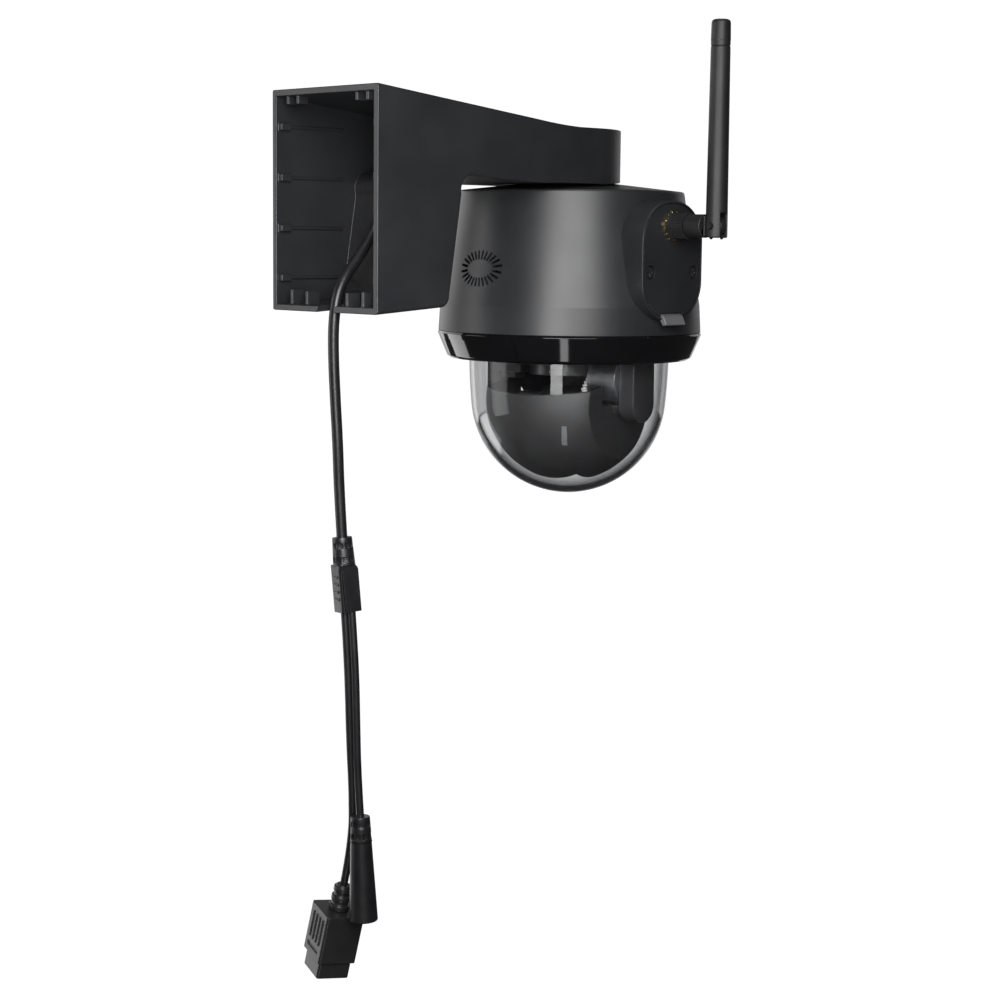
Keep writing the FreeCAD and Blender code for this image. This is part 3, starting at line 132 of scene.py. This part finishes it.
def surface(name, dark, light, rough, grain=900, bump=0.1, depth=0.0001, metallic=0.0, mottle=60,
            stretch=None, **sockets):
    """Principled material: mottled colour, uneven roughness and a fine grain."""
    made = bpy.data.materials.new(name)
    made.use_nodes = True
    tree = made.node_tree
    shader = tree.nodes["Principled BSDF"]
    colour = ramp(tree, noise(tree, mottle, 4, stretch), dark, light)
    tree.links.new(colour, shader.inputs["Base Color"])
    roughness = scaled(tree, noise(tree, mottle * POLISH_FINENESS, 5, stretch), rough[0], rough[1])
    tree.links.new(roughness, shader.inputs["Roughness"])
    if bump:
        normal = add_bump(tree, noise(tree, grain, 3, stretch), bump, depth)
        tree.links.new(normal, shader.inputs["Normal"])
    shader.inputs["Metallic"].default_value = metallic
    for socket, value in sockets.items():
        shader.inputs[socket.replace("_", " ")].default_value = value
    return made


CHARCOAL = surface("charcoal_coat", (0.013, 0.0135, 0.015), (0.018, 0.0185, 0.020), (0.34, 0.43),
                   grain=2000, bump=0.35, depth=0.00009, mottle=28)
GLOSS_BLACK = surface("gloss_black", (0.0035, 0.0035, 0.004), (0.0045, 0.0045, 0.005), (0.05, 0.09),
                      grain=90, bump=0.03, depth=0.0002, mottle=40)
MATTE_BLACK = surface("matte_black", (0.005, 0.005, 0.0055), (0.008, 0.008, 0.0085), (0.5, 0.62),
                      grain=3000, bump=0.15, depth=0.00006)
ANTENNA_BLACK = surface("antenna_rubber", (0.009, 0.009, 0.010), (0.013, 0.013, 0.014), (0.42, 0.55),
                        grain=1600, bump=0.12, depth=0.00008)
SATIN_BLACK = surface("satin_black", (0.013, 0.013, 0.014), (0.018, 0.018, 0.019), (0.30, 0.40),
                      grain=1800, bump=0.10, depth=0.00006)
RUBBER = surface("gasket_rubber", (0.012, 0.012, 0.012), (0.02, 0.02, 0.02), (0.6, 0.75),
                 grain=1200, bump=0.2)
CABLE = surface("cable_jacket", (0.006, 0.006, 0.007), (0.010, 0.010, 0.011), (0.30, 0.42),
                grain=420, bump=0.12, depth=0.00012, mottle=120)
ZINC = surface("zinc_steel", (0.42, 0.43, 0.45), (0.52, 0.53, 0.55), (0.28, 0.42),
               metallic=1.0, grain=1500, bump=0.08)
MOTOR_STEEL = surface("motor_steel", (0.34, 0.35, 0.36), (0.44, 0.45, 0.46), (0.28, 0.40),
                      metallic=1.0, grain=700, bump=0.10, stretch=(1, 14, 14))
GOLD = surface("gold_plate", (0.42, 0.33, 0.17), (0.52, 0.42, 0.24), (0.22, 0.34),
               metallic=1.0, grain=1200, bump=0.08)
BOARD = surface("board_green", (0.006, 0.045, 0.022), (0.010, 0.065, 0.030), (0.30, 0.45),
                grain=500, bump=0.3)
WHITE = surface("white_plastic", (0.50, 0.50, 0.48), (0.58, 0.58, 0.55), (0.4, 0.5),
                grain=1500, bump=0.08)
GREY = surface("grey_plastic", (0.10, 0.10, 0.105), (0.13, 0.13, 0.135), (0.32, 0.42),
               grain=1800, bump=0.10)


def make_clear(name, tint, rough, ior, weight=1.0, edge=None):
    """Clear moulded plastic or glass, slightly uneven; edge, if given, is a colour multiplied in where the
    surface is seen edge-on, painted shade along the outline.
    """
    made = surface(name, tint[0], tint[1], rough, bump=0, mottle=20)
    shader = made.node_tree.nodes["Principled BSDF"]
    shader.inputs["IOR"].default_value = ior
    shader.inputs["Transmission Weight"].default_value = weight
    if edge is not None:
        tree = made.node_tree
        # Painted shade: the colour darkens towards the edge colour where the surface is seen edge-on.
        slant = tree.nodes.new("ShaderNodeLayerWeight")
        slant.inputs["Blend"].default_value = 0.5
        painted_edge_shade = ramp(tree, slant.outputs["Facing"], (1, 1, 1), edge, start=0.30, end=0.80)
        mix = tree.nodes.new("ShaderNodeMixRGB")
        mix.blend_type = "MULTIPLY"
        mix.inputs["Fac"].default_value = 1
        tree.links.new(shader.inputs["Base Color"].links[0].from_socket, mix.inputs["Color1"])
        tree.links.new(painted_edge_shade, mix.inputs["Color2"])
        tree.links.new(mix.outputs["Color"], shader.inputs["Base Color"])
    return made


# The dome's colour is darkened to near black where it is seen edge-on: painted shade along its outline.
CLEAR = make_clear("clear_dome", ((0.955, 0.96, 0.965), (0.965, 0.97, 0.975)), (0.0, 0.004),
                   1.28, edge=(0.04, 0.04, 0.042))
LENS = make_clear("lens_glass", ((0.22, 0.16, 0.40), (0.28, 0.20, 0.46)), (0.0, 0.02), 1.6, 0.7)
SMOKED = make_clear("smoked_window", ((0.03, 0.012, 0.012), (0.04, 0.016, 0.016)), (0.02, 0.06),
                    1.45, 0.6)

NODE_LOOKS = (
    (RUBBER, ("arm_gasket", "side_cover_gasket", "dome_gasket")),
    (ZINC, ("arm_screws", "ring_screws", "chassis_screws", "pan_retainer", "tilt_axle")),
    (SATIN_BLACK, ("cable_gland", "speaker", "dome_retainer", "chassis_plate", "slip_ring",
                   "memory_card")),
    (CABLE, ("cable_boot",)),
    (GOLD, ("antenna_connector", "power_pin", "network_contacts")),
    (WHITE, ("pan_bearing", "board_standoffs", "reset_button", "pan_gear", "pan_pinion",
             "tilt_pinion", "tilt_gear")),
    (MOTOR_STEEL, ("pan_motor",)),
    (BOARD, ("main_board", "card_board", "sensor_board", "lamp_board")),
    (SMOKED, ("lamp_window",)),
    (LENS, ("lens_glass",)),
)
for look, node_names in NODE_LOOKS:
    for node_name in node_names:
        node_data = cad_nodes[node_name].data
        node_data.materials.clear()
        node_data.materials.append(look)


# ------------------------------------------------------------------ geometry helpers
SHARP_ANGLE = 32         # degrees; a sharper edge of a built mesh is shaded as a crease
SOFTENED_SHARP = 40      # the same, once an edge has been rounded
BEVEL_ANGLE = 30         # degrees; a sharper CAD edge is rounded
FLAT_ANGLE = 0.3         # degrees; CAD faces that meet flatter than this are merged
WELD = 0.000002          # metres; CAD points closer than this are merged
FACE_WEIGHT = 90         # how strongly large faces set the shading


def mark_sharp(work, sharp):
    """Shade smooth, except across edges sharper than an angle in degrees."""
    limit = math.radians(sharp)
    for edge in work.edges:
        edge.smooth = len(edge.link_faces) != 2 or edge.calc_face_angle(0) < limit
    for face in work.faces:
        face.smooth = True


def finish_bmesh(name, work, look):
    """Linked mesh object from bmesh data."""
    bmesh.ops.recalc_face_normals(work, faces=work.faces)
    mark_sharp(work, SHARP_ANGLE)
    mesh = bpy.data.meshes.new(name)
    work.to_mesh(mesh)
    work.free()
    mesh.materials.append(look)
    made = bpy.data.objects.new(name, mesh)
    bpy.context.scene.collection.objects.link(made)
    return made


def applied(piece):
    """Replace a piece's mesh by its modified mesh."""
    graph = bpy.context.evaluated_depsgraph_get()
    mesh = bpy.data.meshes.new_from_object(piece.evaluated_get(graph))
    piece.modifiers.clear()
    piece.data = mesh
    return piece


def resmoothed(piece, sharp):
    """Mark a finished mesh's sharp edges afresh."""
    work = bmesh.new()
    work.from_mesh(piece.data)
    mark_sharp(work, sharp)
    work.to_mesh(piece.data)
    work.free()
    return piece


def evened(piece):
    """Weight the shading by face size, so flat faces stay flat up to their rounded edges."""
    weighting = piece.modifiers.new("even", "WEIGHTED_NORMAL")
    weighting.keep_sharp = True
    weighting.weight = FACE_WEIGHT
    return applied(piece)


def rounded(corners, steps=6):
    """Closed outline with each corner (a, b, radius) replaced by an arc."""
    out = []
    count = len(corners)
    for index, (a, b, radius) in enumerate(corners):
        if radius <= 0:
            out.append((a, b))
            continue
        here = Vector((a, b))
        before = (Vector(corners[index - 1][:2]) - here).normalized()
        after = (Vector(corners[(index + 1) % count][:2]) - here).normalized()
        angle = before.angle(after)
        reach = radius / math.tan(angle / 2)
        centre = here + (before + after).normalized() * (radius / math.sin(angle / 2))
        start = here + before * reach - centre
        end = here + after * reach - centre
        for step in range(steps + 1):
            mix = start.slerp(end, step / steps)
            out.append(tuple(centre + mix.normalized() * radius))
    return out


def lathe(name, profile, look, segments, origin=(0, AXIS_Y, 0), closed=True):
    """Turned piece: (radius, height) outline spun about the upright axis through origin."""
    base = Vector(origin)
    work = bmesh.new()
    rings = []
    for radius, height in profile:
        if radius < 1e-6:
            rings.append([work.verts.new((base + Vector((0, 0, height))) * MM)])
            continue
        ring = []
        for step in range(segments):
            angle = TAU * step / segments
            point = Vector((radius * math.cos(angle), radius * math.sin(angle), height))
            ring.append(work.verts.new((base + point) * MM))
        rings.append(ring)
    pairs = list(zip(rings, rings[1:]))
    if closed:
        pairs.append((rings[-1], rings[0]))
    for first, second in pairs:
        for step in range(segments):
            following = (step + 1) % segments
            corners = [first[step % len(first)], first[following % len(first)],
                       second[following % len(second)], second[step % len(second)]]
            unique = list(dict.fromkeys(corners))
            if len(unique) >= 3:
                work.faces.new(unique)
    return evened(finish_bmesh(name, work, look))


def loft(name, rings, look):
    """Skin over equal-length closed rings of points, open at both ends."""
    work = bmesh.new()
    rows = [[work.verts.new(Vector(p) * MM) for p in ring] for ring in rings]
    for first, second in zip(rows, rows[1:]):
        for step in range(len(first)):
            following = (step + 1) % len(first)
            work.faces.new((first[step], first[following], second[following], second[step]))
    return evened(finish_bmesh(name, work, look))


def softened(node, look, width, segments=2, weigh=None):
    """Copy of a CAD node with its edges rounded, which replaces the node.

    weigh, if given, returns the share of the width that an edge's rounding has.
    """
    work = bmesh.new()
    work.from_mesh(cad_nodes[node].data)
    bmesh.ops.remove_doubles(work, verts=work.verts, dist=WELD)
    bmesh.ops.dissolve_limit(work, angle_limit=math.radians(FLAT_ANGLE), verts=work.verts,
                             edges=work.edges)
    layer = work.edges.layers.float.new("bevel_weight_edge")
    limit = math.radians(BEVEL_ANGLE)
    for edge in work.edges:
        if len(edge.link_faces) == 2 and edge.calc_face_angle(0) > limit:
            edge[layer] = 1.0 if weigh is None else weigh(edge)
    piece = finish_bmesh(node + "_body", work, look)
    bevel = piece.modifiers.new("bevel", "BEVEL")
    bevel.limit_method = "WEIGHT"
    bevel.width = width * MM
    bevel.segments = segments
    bevel.use_clamp_overlap = False
    applied(piece)
    evened(resmoothed(piece, SOFTENED_SHARP))
    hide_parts(node)
    return piece


def cut_by(piece, cutter):
    """Boolean difference, applied; the cutter is removed."""
    carve = piece.modifiers.new("cut", "BOOLEAN")
    carve.operation = "DIFFERENCE"
    carve.solver = "EXACT"
    carve.object = cutter
    bpy.context.view_layer.update()
    applied(piece)
    bpy.data.objects.remove(cutter)
    return evened(resmoothed(piece, SHARP_ANGLE))


# ------------------------------------------------------------------ lead
LEAD_R = 2.6
TAIL_R = 1.9
LEAD_ROUTE = [
    (0.0, -145.0, 26.2), (0.0, -134.5, 26.2), (0.8, -120.5, 20.6), (0.4, -103.0, 17.4), (-0.4, -84.0, 17.2),
    (-0.8, -68.0, 20.2), (-0.4, -55.5, 22.4), (0.0, -44.5, 17.0), (0.2, -37.4, 4.0), (0.0, -31.6, -10.5),
    (-0.4, -21.5, -25.0), (-1.1, -9.2, -37.5), (-1.8, -4.8, -51.5), (-0.6, -5.2, -67.1), (-0.1, -6.8, -89.4),
    (-0.4, -8.2, -111.5), (0.6, -9.9, -134.0), (-0.2, -11.0, -156.3),
]
POWER_ROUTE = [
    (-5.1, -13.0, -191.3), (-6.1, -13.3, -204.0), (-7.4, -13.6, -224.0), (-8.0, -13.7, -246.0),
    (-8.7, -13.8, -268.5), (-10.1, -14.4, -289.4),
]
NETWORK_ROUTE = [
    (-1.3, -11.8, -191.7), (-2.3, -12.1, -204.0), (-3.7, -12.4, -228.0), (-4.4, -12.7, -254.0),
    (-4.6, -14.2, -279.5), (-1.0, -17.0, -304.0), (4.8, -16.6, -326.6),
]


def cord_piece(name, route, radius, node):
    """Round cable on a smooth curve through its route."""
    data = bpy.data.curves.new(name, "CURVE")
    data.dimensions = "3D"
    data.bevel_depth = radius * MM
    data.bevel_resolution = 6
    data.resolution_u = 16
    data.use_fill_caps = True
    spline = data.splines.new("NURBS")
    spline.points.add(len(route) - 1)
    for point, place in zip(spline.points, route):
        point.co = (*(Vector(place) * MM), 1)
    spline.order_u = 3
    spline.use_endpoint_u = True
    data.materials.append(CABLE)
    piece = bpy.data.objects.new(name, data)
    bpy.context.scene.collection.objects.link(piece)
    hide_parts(node)
    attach(piece, "housing")
    return piece


lead = cord_piece("lead", LEAD_ROUTE, LEAD_R, "main_lead")
power_lead = cord_piece("power_lead", POWER_ROUTE, TAIL_R, "power_tail")
network_lead = cord_piece("network_lead", NETWORK_ROUTE, TAIL_R, "network_tail")


def riding(piece, body):
    """Piece that moves with a body."""
    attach(piece, body)
    return piece


splitter = riding(softened("lead_splitter", CABLE, 0.3), "housing")
power_end = riding(softened("power_socket", CABLE, 0.3), "housing")
network_end = softened("network_socket", SATIN_BLACK, 0.4, segments=3)
riding(network_end, "housing")


# ------------------------------------------------------------------ wall bracket
RIM_Y = -0.5             # edges behind this plane are the open rear face's rim
OUTER_X = 38.2           # edges beyond this are on the bracket's sides
ARM_START_Y = -60.0      # edges in front of this are on the arm
RIM_ROUNDING = 0.3
SMALL_ROUNDING = 0.25


def bracket_weight(edge):
    """Full rounding on the outer long edges, little on rims and tabs."""
    middle = (edge.verts[0].co + edge.verts[1].co) * 0.5 / MM
    if middle.y > RIM_Y:
        return RIM_ROUNDING
    outside = abs(middle.x) > OUTER_X and middle.y > ARM_START_Y
    return 1.0 if outside else SMALL_ROUNDING


bracket = softened("wall_bracket", CHARCOAL, 1.8, segments=4, weigh=bracket_weight)
riding(bracket, "housing")


# ------------------------------------------------------------------ housing
HOUSING_OUTLINE = rounded([
    (8, 11.6, 0), (22, 11.6, 0.6), (57.3, 7.6, 1.5), (66.2, -49.3, 2.0), (67.0, SEAM_Z, 0.35),
    (64.4, SEAM_Z, 0), (63.6, -49.3, 0), (54.7, 5.0, 0), (22, 9.0, 0), (8, 9.0, 0)])
housing = lathe("housing_body", HOUSING_OUTLINE, CHARCOAL, segments=240)

GRILLE_Z = -31.2
GRILLE_SLOTS = 24
GRILLE_INNER = (8.8, 4.3)     # half width and half height of the oval blank
GRILLE_OUTER = (14.9, 8.9)    # the same for the oval round the slots' outer ends
GRILLE_FROM_Y = AXIS_Y + 52   # the cutter's two ends, inside and outside the shell
GRILLE_TO_Y = AXIS_Y + 75
SLOT_HALF = 0.65              # half width of a slot
SLOT_STEPS = 6                # straight steps round a slot's end
OVAL_STEPS = 720              # straight steps that an oval's length is measured in


def oval_point(half_w, half_h, turn):
    """Point on an oval at a turn."""
    return Vector((half_w * math.cos(turn), half_h * math.sin(turn)))


def even_turns(count, half_w, half_h):
    """Turns whose points are evenly spaced along an oval."""
    lengths = [0.0]
    for step in range(OVAL_STEPS):
        turn = TAU * (step + 0.5) / OVAL_STEPS
        lengths.append(lengths[-1] + math.hypot(half_w * math.sin(turn), half_h * math.cos(turn)))
    turns = []
    step = 0
    for index in range(count):
        wanted = lengths[-1] * (index + 0.5) / count
        while lengths[step + 1] < wanted:
            step += 1
        turns.append(TAU * (step + 0.5) / OVAL_STEPS)
    return turns


def slot_loop(inner, outer):
    """Outline of a slot with round ends between two points."""
    along = (outer - inner).normalized()
    side = Vector((-along.y, along.x)) * SLOT_HALF
    loop = []
    for end, sign in ((outer, 1), (inner, -1)):
        for step in range(SLOT_STEPS + 1):
            angle = math.pi / 2 - math.pi * step / SLOT_STEPS
            swing = along * (SLOT_HALF * math.cos(angle) * sign) + side * (math.sin(angle) * sign)
            loop.append(end - along * SLOT_HALF * sign + swing)
    return loop


def grille_cutter():
    """Slots radiating from an oval blank, as one cutting mesh."""
    work = bmesh.new()
    for turn in even_turns(GRILLE_SLOTS, *GRILLE_INNER):
        loop = slot_loop(oval_point(*GRILLE_INNER, turn), oval_point(*GRILLE_OUTER, turn))
        near = [work.verts.new(Vector((p.x, GRILLE_FROM_Y, GRILLE_Z + p.y)) * MM) for p in loop]
        far = [work.verts.new(Vector((p.x, GRILLE_TO_Y, GRILLE_Z + p.y)) * MM) for p in loop]
        work.faces.new(near)
        work.faces.new(list(reversed(far)))
        for step in range(len(loop)):
            following = (step + 1) % len(loop)
            work.faces.new((near[step], far[step], far[following], near[following]))
    return finish_bmesh("grille_cutter", work, SATIN_BLACK)


cut_by(housing, grille_cutter())
riding(housing, "housing")
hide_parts("housing_shell")


POD_Z = -26.65           # middle of the service pod's face
POD_HALF_W = 21.6
POD_HALF_H = 29.15
POD_CORNER = 19.5
POD_CORNER_STEPS = 20
POD_SIDES = [            # (x, how far the outline is inside the full size), from the head outwards
    (-46, -1.2), (-60, -0.6), (-69.0, 0.0), (-69.8, 0.1), (-70.15, 0.3), (-70.3, 0.65), (-70.3, 1.0),
    (-70.2, 1.15), (-69.9, 1.2), (-67.0, 1.2), (-67.0, 4.0), (-60.0, 4.2),
]


def pod_outline(x, inset):
    """The pod's rounded outline in the plane at x."""
    half_w, half_h, corner = POD_HALF_W - inset, POD_HALF_H - inset, POD_CORNER - inset
    ring = []
    for quarter, (sy, sz) in enumerate(((1, 1), (-1, 1), (-1, -1), (1, -1))):
        for step in range(POD_CORNER_STEPS + 1):
            angle = math.radians(90 * (quarter + step / POD_CORNER_STEPS))
            ring.append((x, AXIS_Y + sy * (half_w - corner) + corner * math.cos(angle),
                         POD_Z + sz * (half_h - corner) + corner * math.sin(angle)))
    return ring


def make_pod():
    """Side, rounded rim and recess of the pod; the cover lies in the recess."""
    return loft("service_pod", [pod_outline(x, inset) for x, inset in POD_SIDES], CHARCOAL)


riding(make_pod(), "housing")
riding(softened("side_cover", CHARCOAL, 0.15), "housing")
riding(softened("side_cover_screws", SATIN_BLACK, 0.12), "housing")
riding(softened("cover_pull_tab", GREY, 0.6, segments=3), "housing")

# ------------------------------------------------------------------ trim ring and dome
RING_OUTLINE = rounded([
    (63.2, -57.8, 0), (63.2, SEAM_Z, 0), (66.9, SEAM_Z - 0.1, 0.3), (67.4, -63.9, 0.3),
    (66.3, -66.7, 0.8), (62.5, -75.6, 1.6), (60.6, -76.8, 0.8), (51.9, -76.8, 0.3), (51.6, -72.5, 0),
    (58.2, -72.5, 0), (58.2, -66.5, 0), (61.6, -65.0, 0), (61.6, -57.8, 0)])
trim_ring = lathe("trim_ring_body", RING_OUTLINE, GLOSS_BLACK, segments=240)
riding(trim_ring, "housing")
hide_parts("trim_ring")

DOME_R = 50.0            # outside radius of the spherical part
DOME_Z = -96.0           # centre of the sphere
DOME_JOIN_Z = -101.0     # where the skirt's long arc meets the sphere
DOME_T = 2.2
SKIRT_R = 51.2           # outside radius at the top of the skirt
FLANGE_R = 57.8
FLANGE_Z = -72.5         # underside of the flange
FLANGE_TOP_Z = -70.3
SPHERE_STEPS = 40
SKIRT_STEPS = 12


def dome_curve(offset):
    """Dome profile from its bottom centre up to the flange, moved inwards by an offset."""
    lean = math.asin((DOME_Z - DOME_JOIN_Z) / DOME_R)
    long_r = (SKIRT_R - DOME_R * math.cos(lean)) / (1 - math.cos(lean))
    centre_r = SKIRT_R - long_r
    skirt_z = DOME_JOIN_Z + long_r * math.sin(lean)
    sphere_r = DOME_R - offset
    skirt_arc_r = long_r - offset
    points = []
    for step in range(SPHERE_STEPS + 1):
        angle = math.pi / 2 + (lean - math.pi / 2) * step / SPHERE_STEPS
        points.append((sphere_r * math.cos(angle), DOME_Z - sphere_r * math.sin(angle)))
    top_angle = math.asin(max(0.0, (skirt_z - FLANGE_Z) / skirt_arc_r))
    for step in range(1, SKIRT_STEPS + 1):
        angle = lean + (top_angle - lean) * step / SKIRT_STEPS
        points.append((centre_r + skirt_arc_r * math.cos(angle), skirt_z - skirt_arc_r * math.sin(angle)))
    return points


outer_skin = dome_curve(0)
inner_skin = dome_curve(DOME_T)
flange = [(FLANGE_R, FLANGE_Z), (FLANGE_R, FLANGE_TOP_Z), (inner_skin[-1][0], FLANGE_TOP_Z)]
dome_outline = outer_skin + flange + list(reversed(inner_skin))
dome = lathe("dome_glass", dome_outline, CLEAR, segments=200, closed=False)
dome.visible_shadow = False
riding(dome, "housing")
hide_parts("dome_window")

# ------------------------------------------------------------------ antenna
riding(softened("connector_washer", GOLD, 0.12), "housing")
riding(softened("connector_nut", SATIN_BLACK, 0.25), "housing")
riding(softened("antenna_coupling_nut", SATIN_BLACK, 0.10), "housing")
riding(softened("antenna_barrel", ANTENNA_BLACK, 0.35, segments=3), "antenna_base")
riding(softened("antenna_hinge_pin", SATIN_BLACK, 0.2), "antenna_base")
riding(softened("antenna_whip", ANTENNA_BLACK, 0.8, segments=4), "antenna_arm")
riding(softened("antenna_cap", ANTENNA_BLACK, 0.45, segments=3), "antenna_arm")

# ------------------------------------------------------------------ inside the dome
riding(softened("turntable", SATIN_BLACK, 0.5, segments=3), "pan_unit")
riding(softened("inner_shroud", MATTE_BLACK, 0.35), "pan_unit")
riding(softened("tilt_motor", MOTOR_STEEL, 0.3), "pan_unit")
riding(softened("tilt_motor_plate", ZINC, 0.2), "pan_unit")
riding(softened("cable_clamp", SATIN_BLACK, 0.4), "pan_unit")
riding(softened("camera_housing", MATTE_BLACK, 0.3), "camera")
riding(softened("lens_barrel", SATIN_BLACK, 0.2), "camera")


# ------------------------------------------------------------------ studio
FLOOR_Z = -1500          # far below the object, so that low views are still above it
FLOOR_R = 2200           # flat part of the floor
CURVE_R = 1200           # curve from the floor up to the wall
CURVE_STEPS = 12
WALL_TOP_Z = 3500
PEAK_Z = 5200
FLOOR_GLOW = 0.92
HEAD = Vector((-0.02, -0.12, -0.06))             # what the lights are aimed at
TOWARD_CAMERA = Vector((-0.727, 0.687, 0))       # level heading from the object to the camera
CAMERA_RIGHT = Vector((-0.687, -0.727, 0))       # level heading to the camera's right


def make_stage():
    """Round pale floor that curves up into a wall and a roof; only the camera sees it."""
    outline = [(0, FLOOR_Z), (FLOOR_R, FLOOR_Z)]
    for step in range(1, CURVE_STEPS + 1):
        angle = math.radians(90 * step / CURVE_STEPS)
        outline.append((FLOOR_R + CURVE_R * math.sin(angle),
                        FLOOR_Z + CURVE_R - CURVE_R * math.cos(angle)))
    outline += [(FLOOR_R + CURVE_R, WALL_TOP_Z), (0, PEAK_Z)]
    pale = surface("pale_floor", (0.80, 0.80, 0.80), (0.82, 0.82, 0.82), (0.8, 0.9), grain=30,
                   bump=0.02, Emission_Color=(1, 1, 1, 1), Emission_Strength=FLOOR_GLOW)
    floor = lathe("studio_floor", outline, pale, segments=96, origin=(0, 0, 0), closed=False)
    floor.visible_glossy = False
    floor.visible_diffuse = False
    floor.visible_transmission = False
    floor.visible_shadow = False


def make_light(name, side_angle, height_angle, distance, width, height, power):
    """Soft light on the head, at angles to the camera's right and above the level, in degrees."""
    side, lift = math.radians(side_angle), math.radians(height_angle)
    level = math.cos(side) * TOWARD_CAMERA + math.sin(side) * CAMERA_RIGHT
    heading = math.cos(lift) * level + Vector((0, 0, math.sin(lift)))
    data = bpy.data.lights.new(name, "AREA")
    data.shape = "RECTANGLE"
    data.size = width
    data.size_y = height
    data.energy = power
    lamp = bpy.data.objects.new(name, data)
    bpy.context.scene.collection.objects.link(lamp)
    lamp.location = HEAD + heading * distance
    lamp.rotation_euler = heading.to_track_quat("Z", "Y").to_euler()
    lamp.visible_camera = False


make_stage()
make_light("key", 6, 20, 1.6, 0.9, 1.0, 24)
make_light("near_left", -14, 5, 0.30, 0.08, 0.25, 0.7)
make_light("left_panel", -92, 4, 1.4, 0.6, 1.2, 5)
make_light("back_panel", 180, -2, 1.5, 1.3, 1.0, 2.9)
make_light("left_rear_panel", -140, 8, 1.8, 1.2, 1.4, 7)
make_light("right_rear_panel", 145, 8, 1.8, 0.6, 1.2, 1.5)
make_light("low_strip", -6, -47, 1.2, 0.12, 0.5, 0.8)
make_light("low_rear", -130, -25, 1.4, 0.5, 0.5, 2)
make_light("overhead", 0, 85, 1.5, 1.2, 1.2, 4)

world = bpy.data.worlds.new("studio")
world.use_nodes = True
sky = world.node_tree.nodes["Background"]
sky.inputs["Color"].default_value = (0.07, 0.07, 0.073, 1)
sky.inputs["Strength"].default_value = 0.6
bpy.context.scene.world = world
bpy.context.scene.view_settings.view_transform = "Standard"
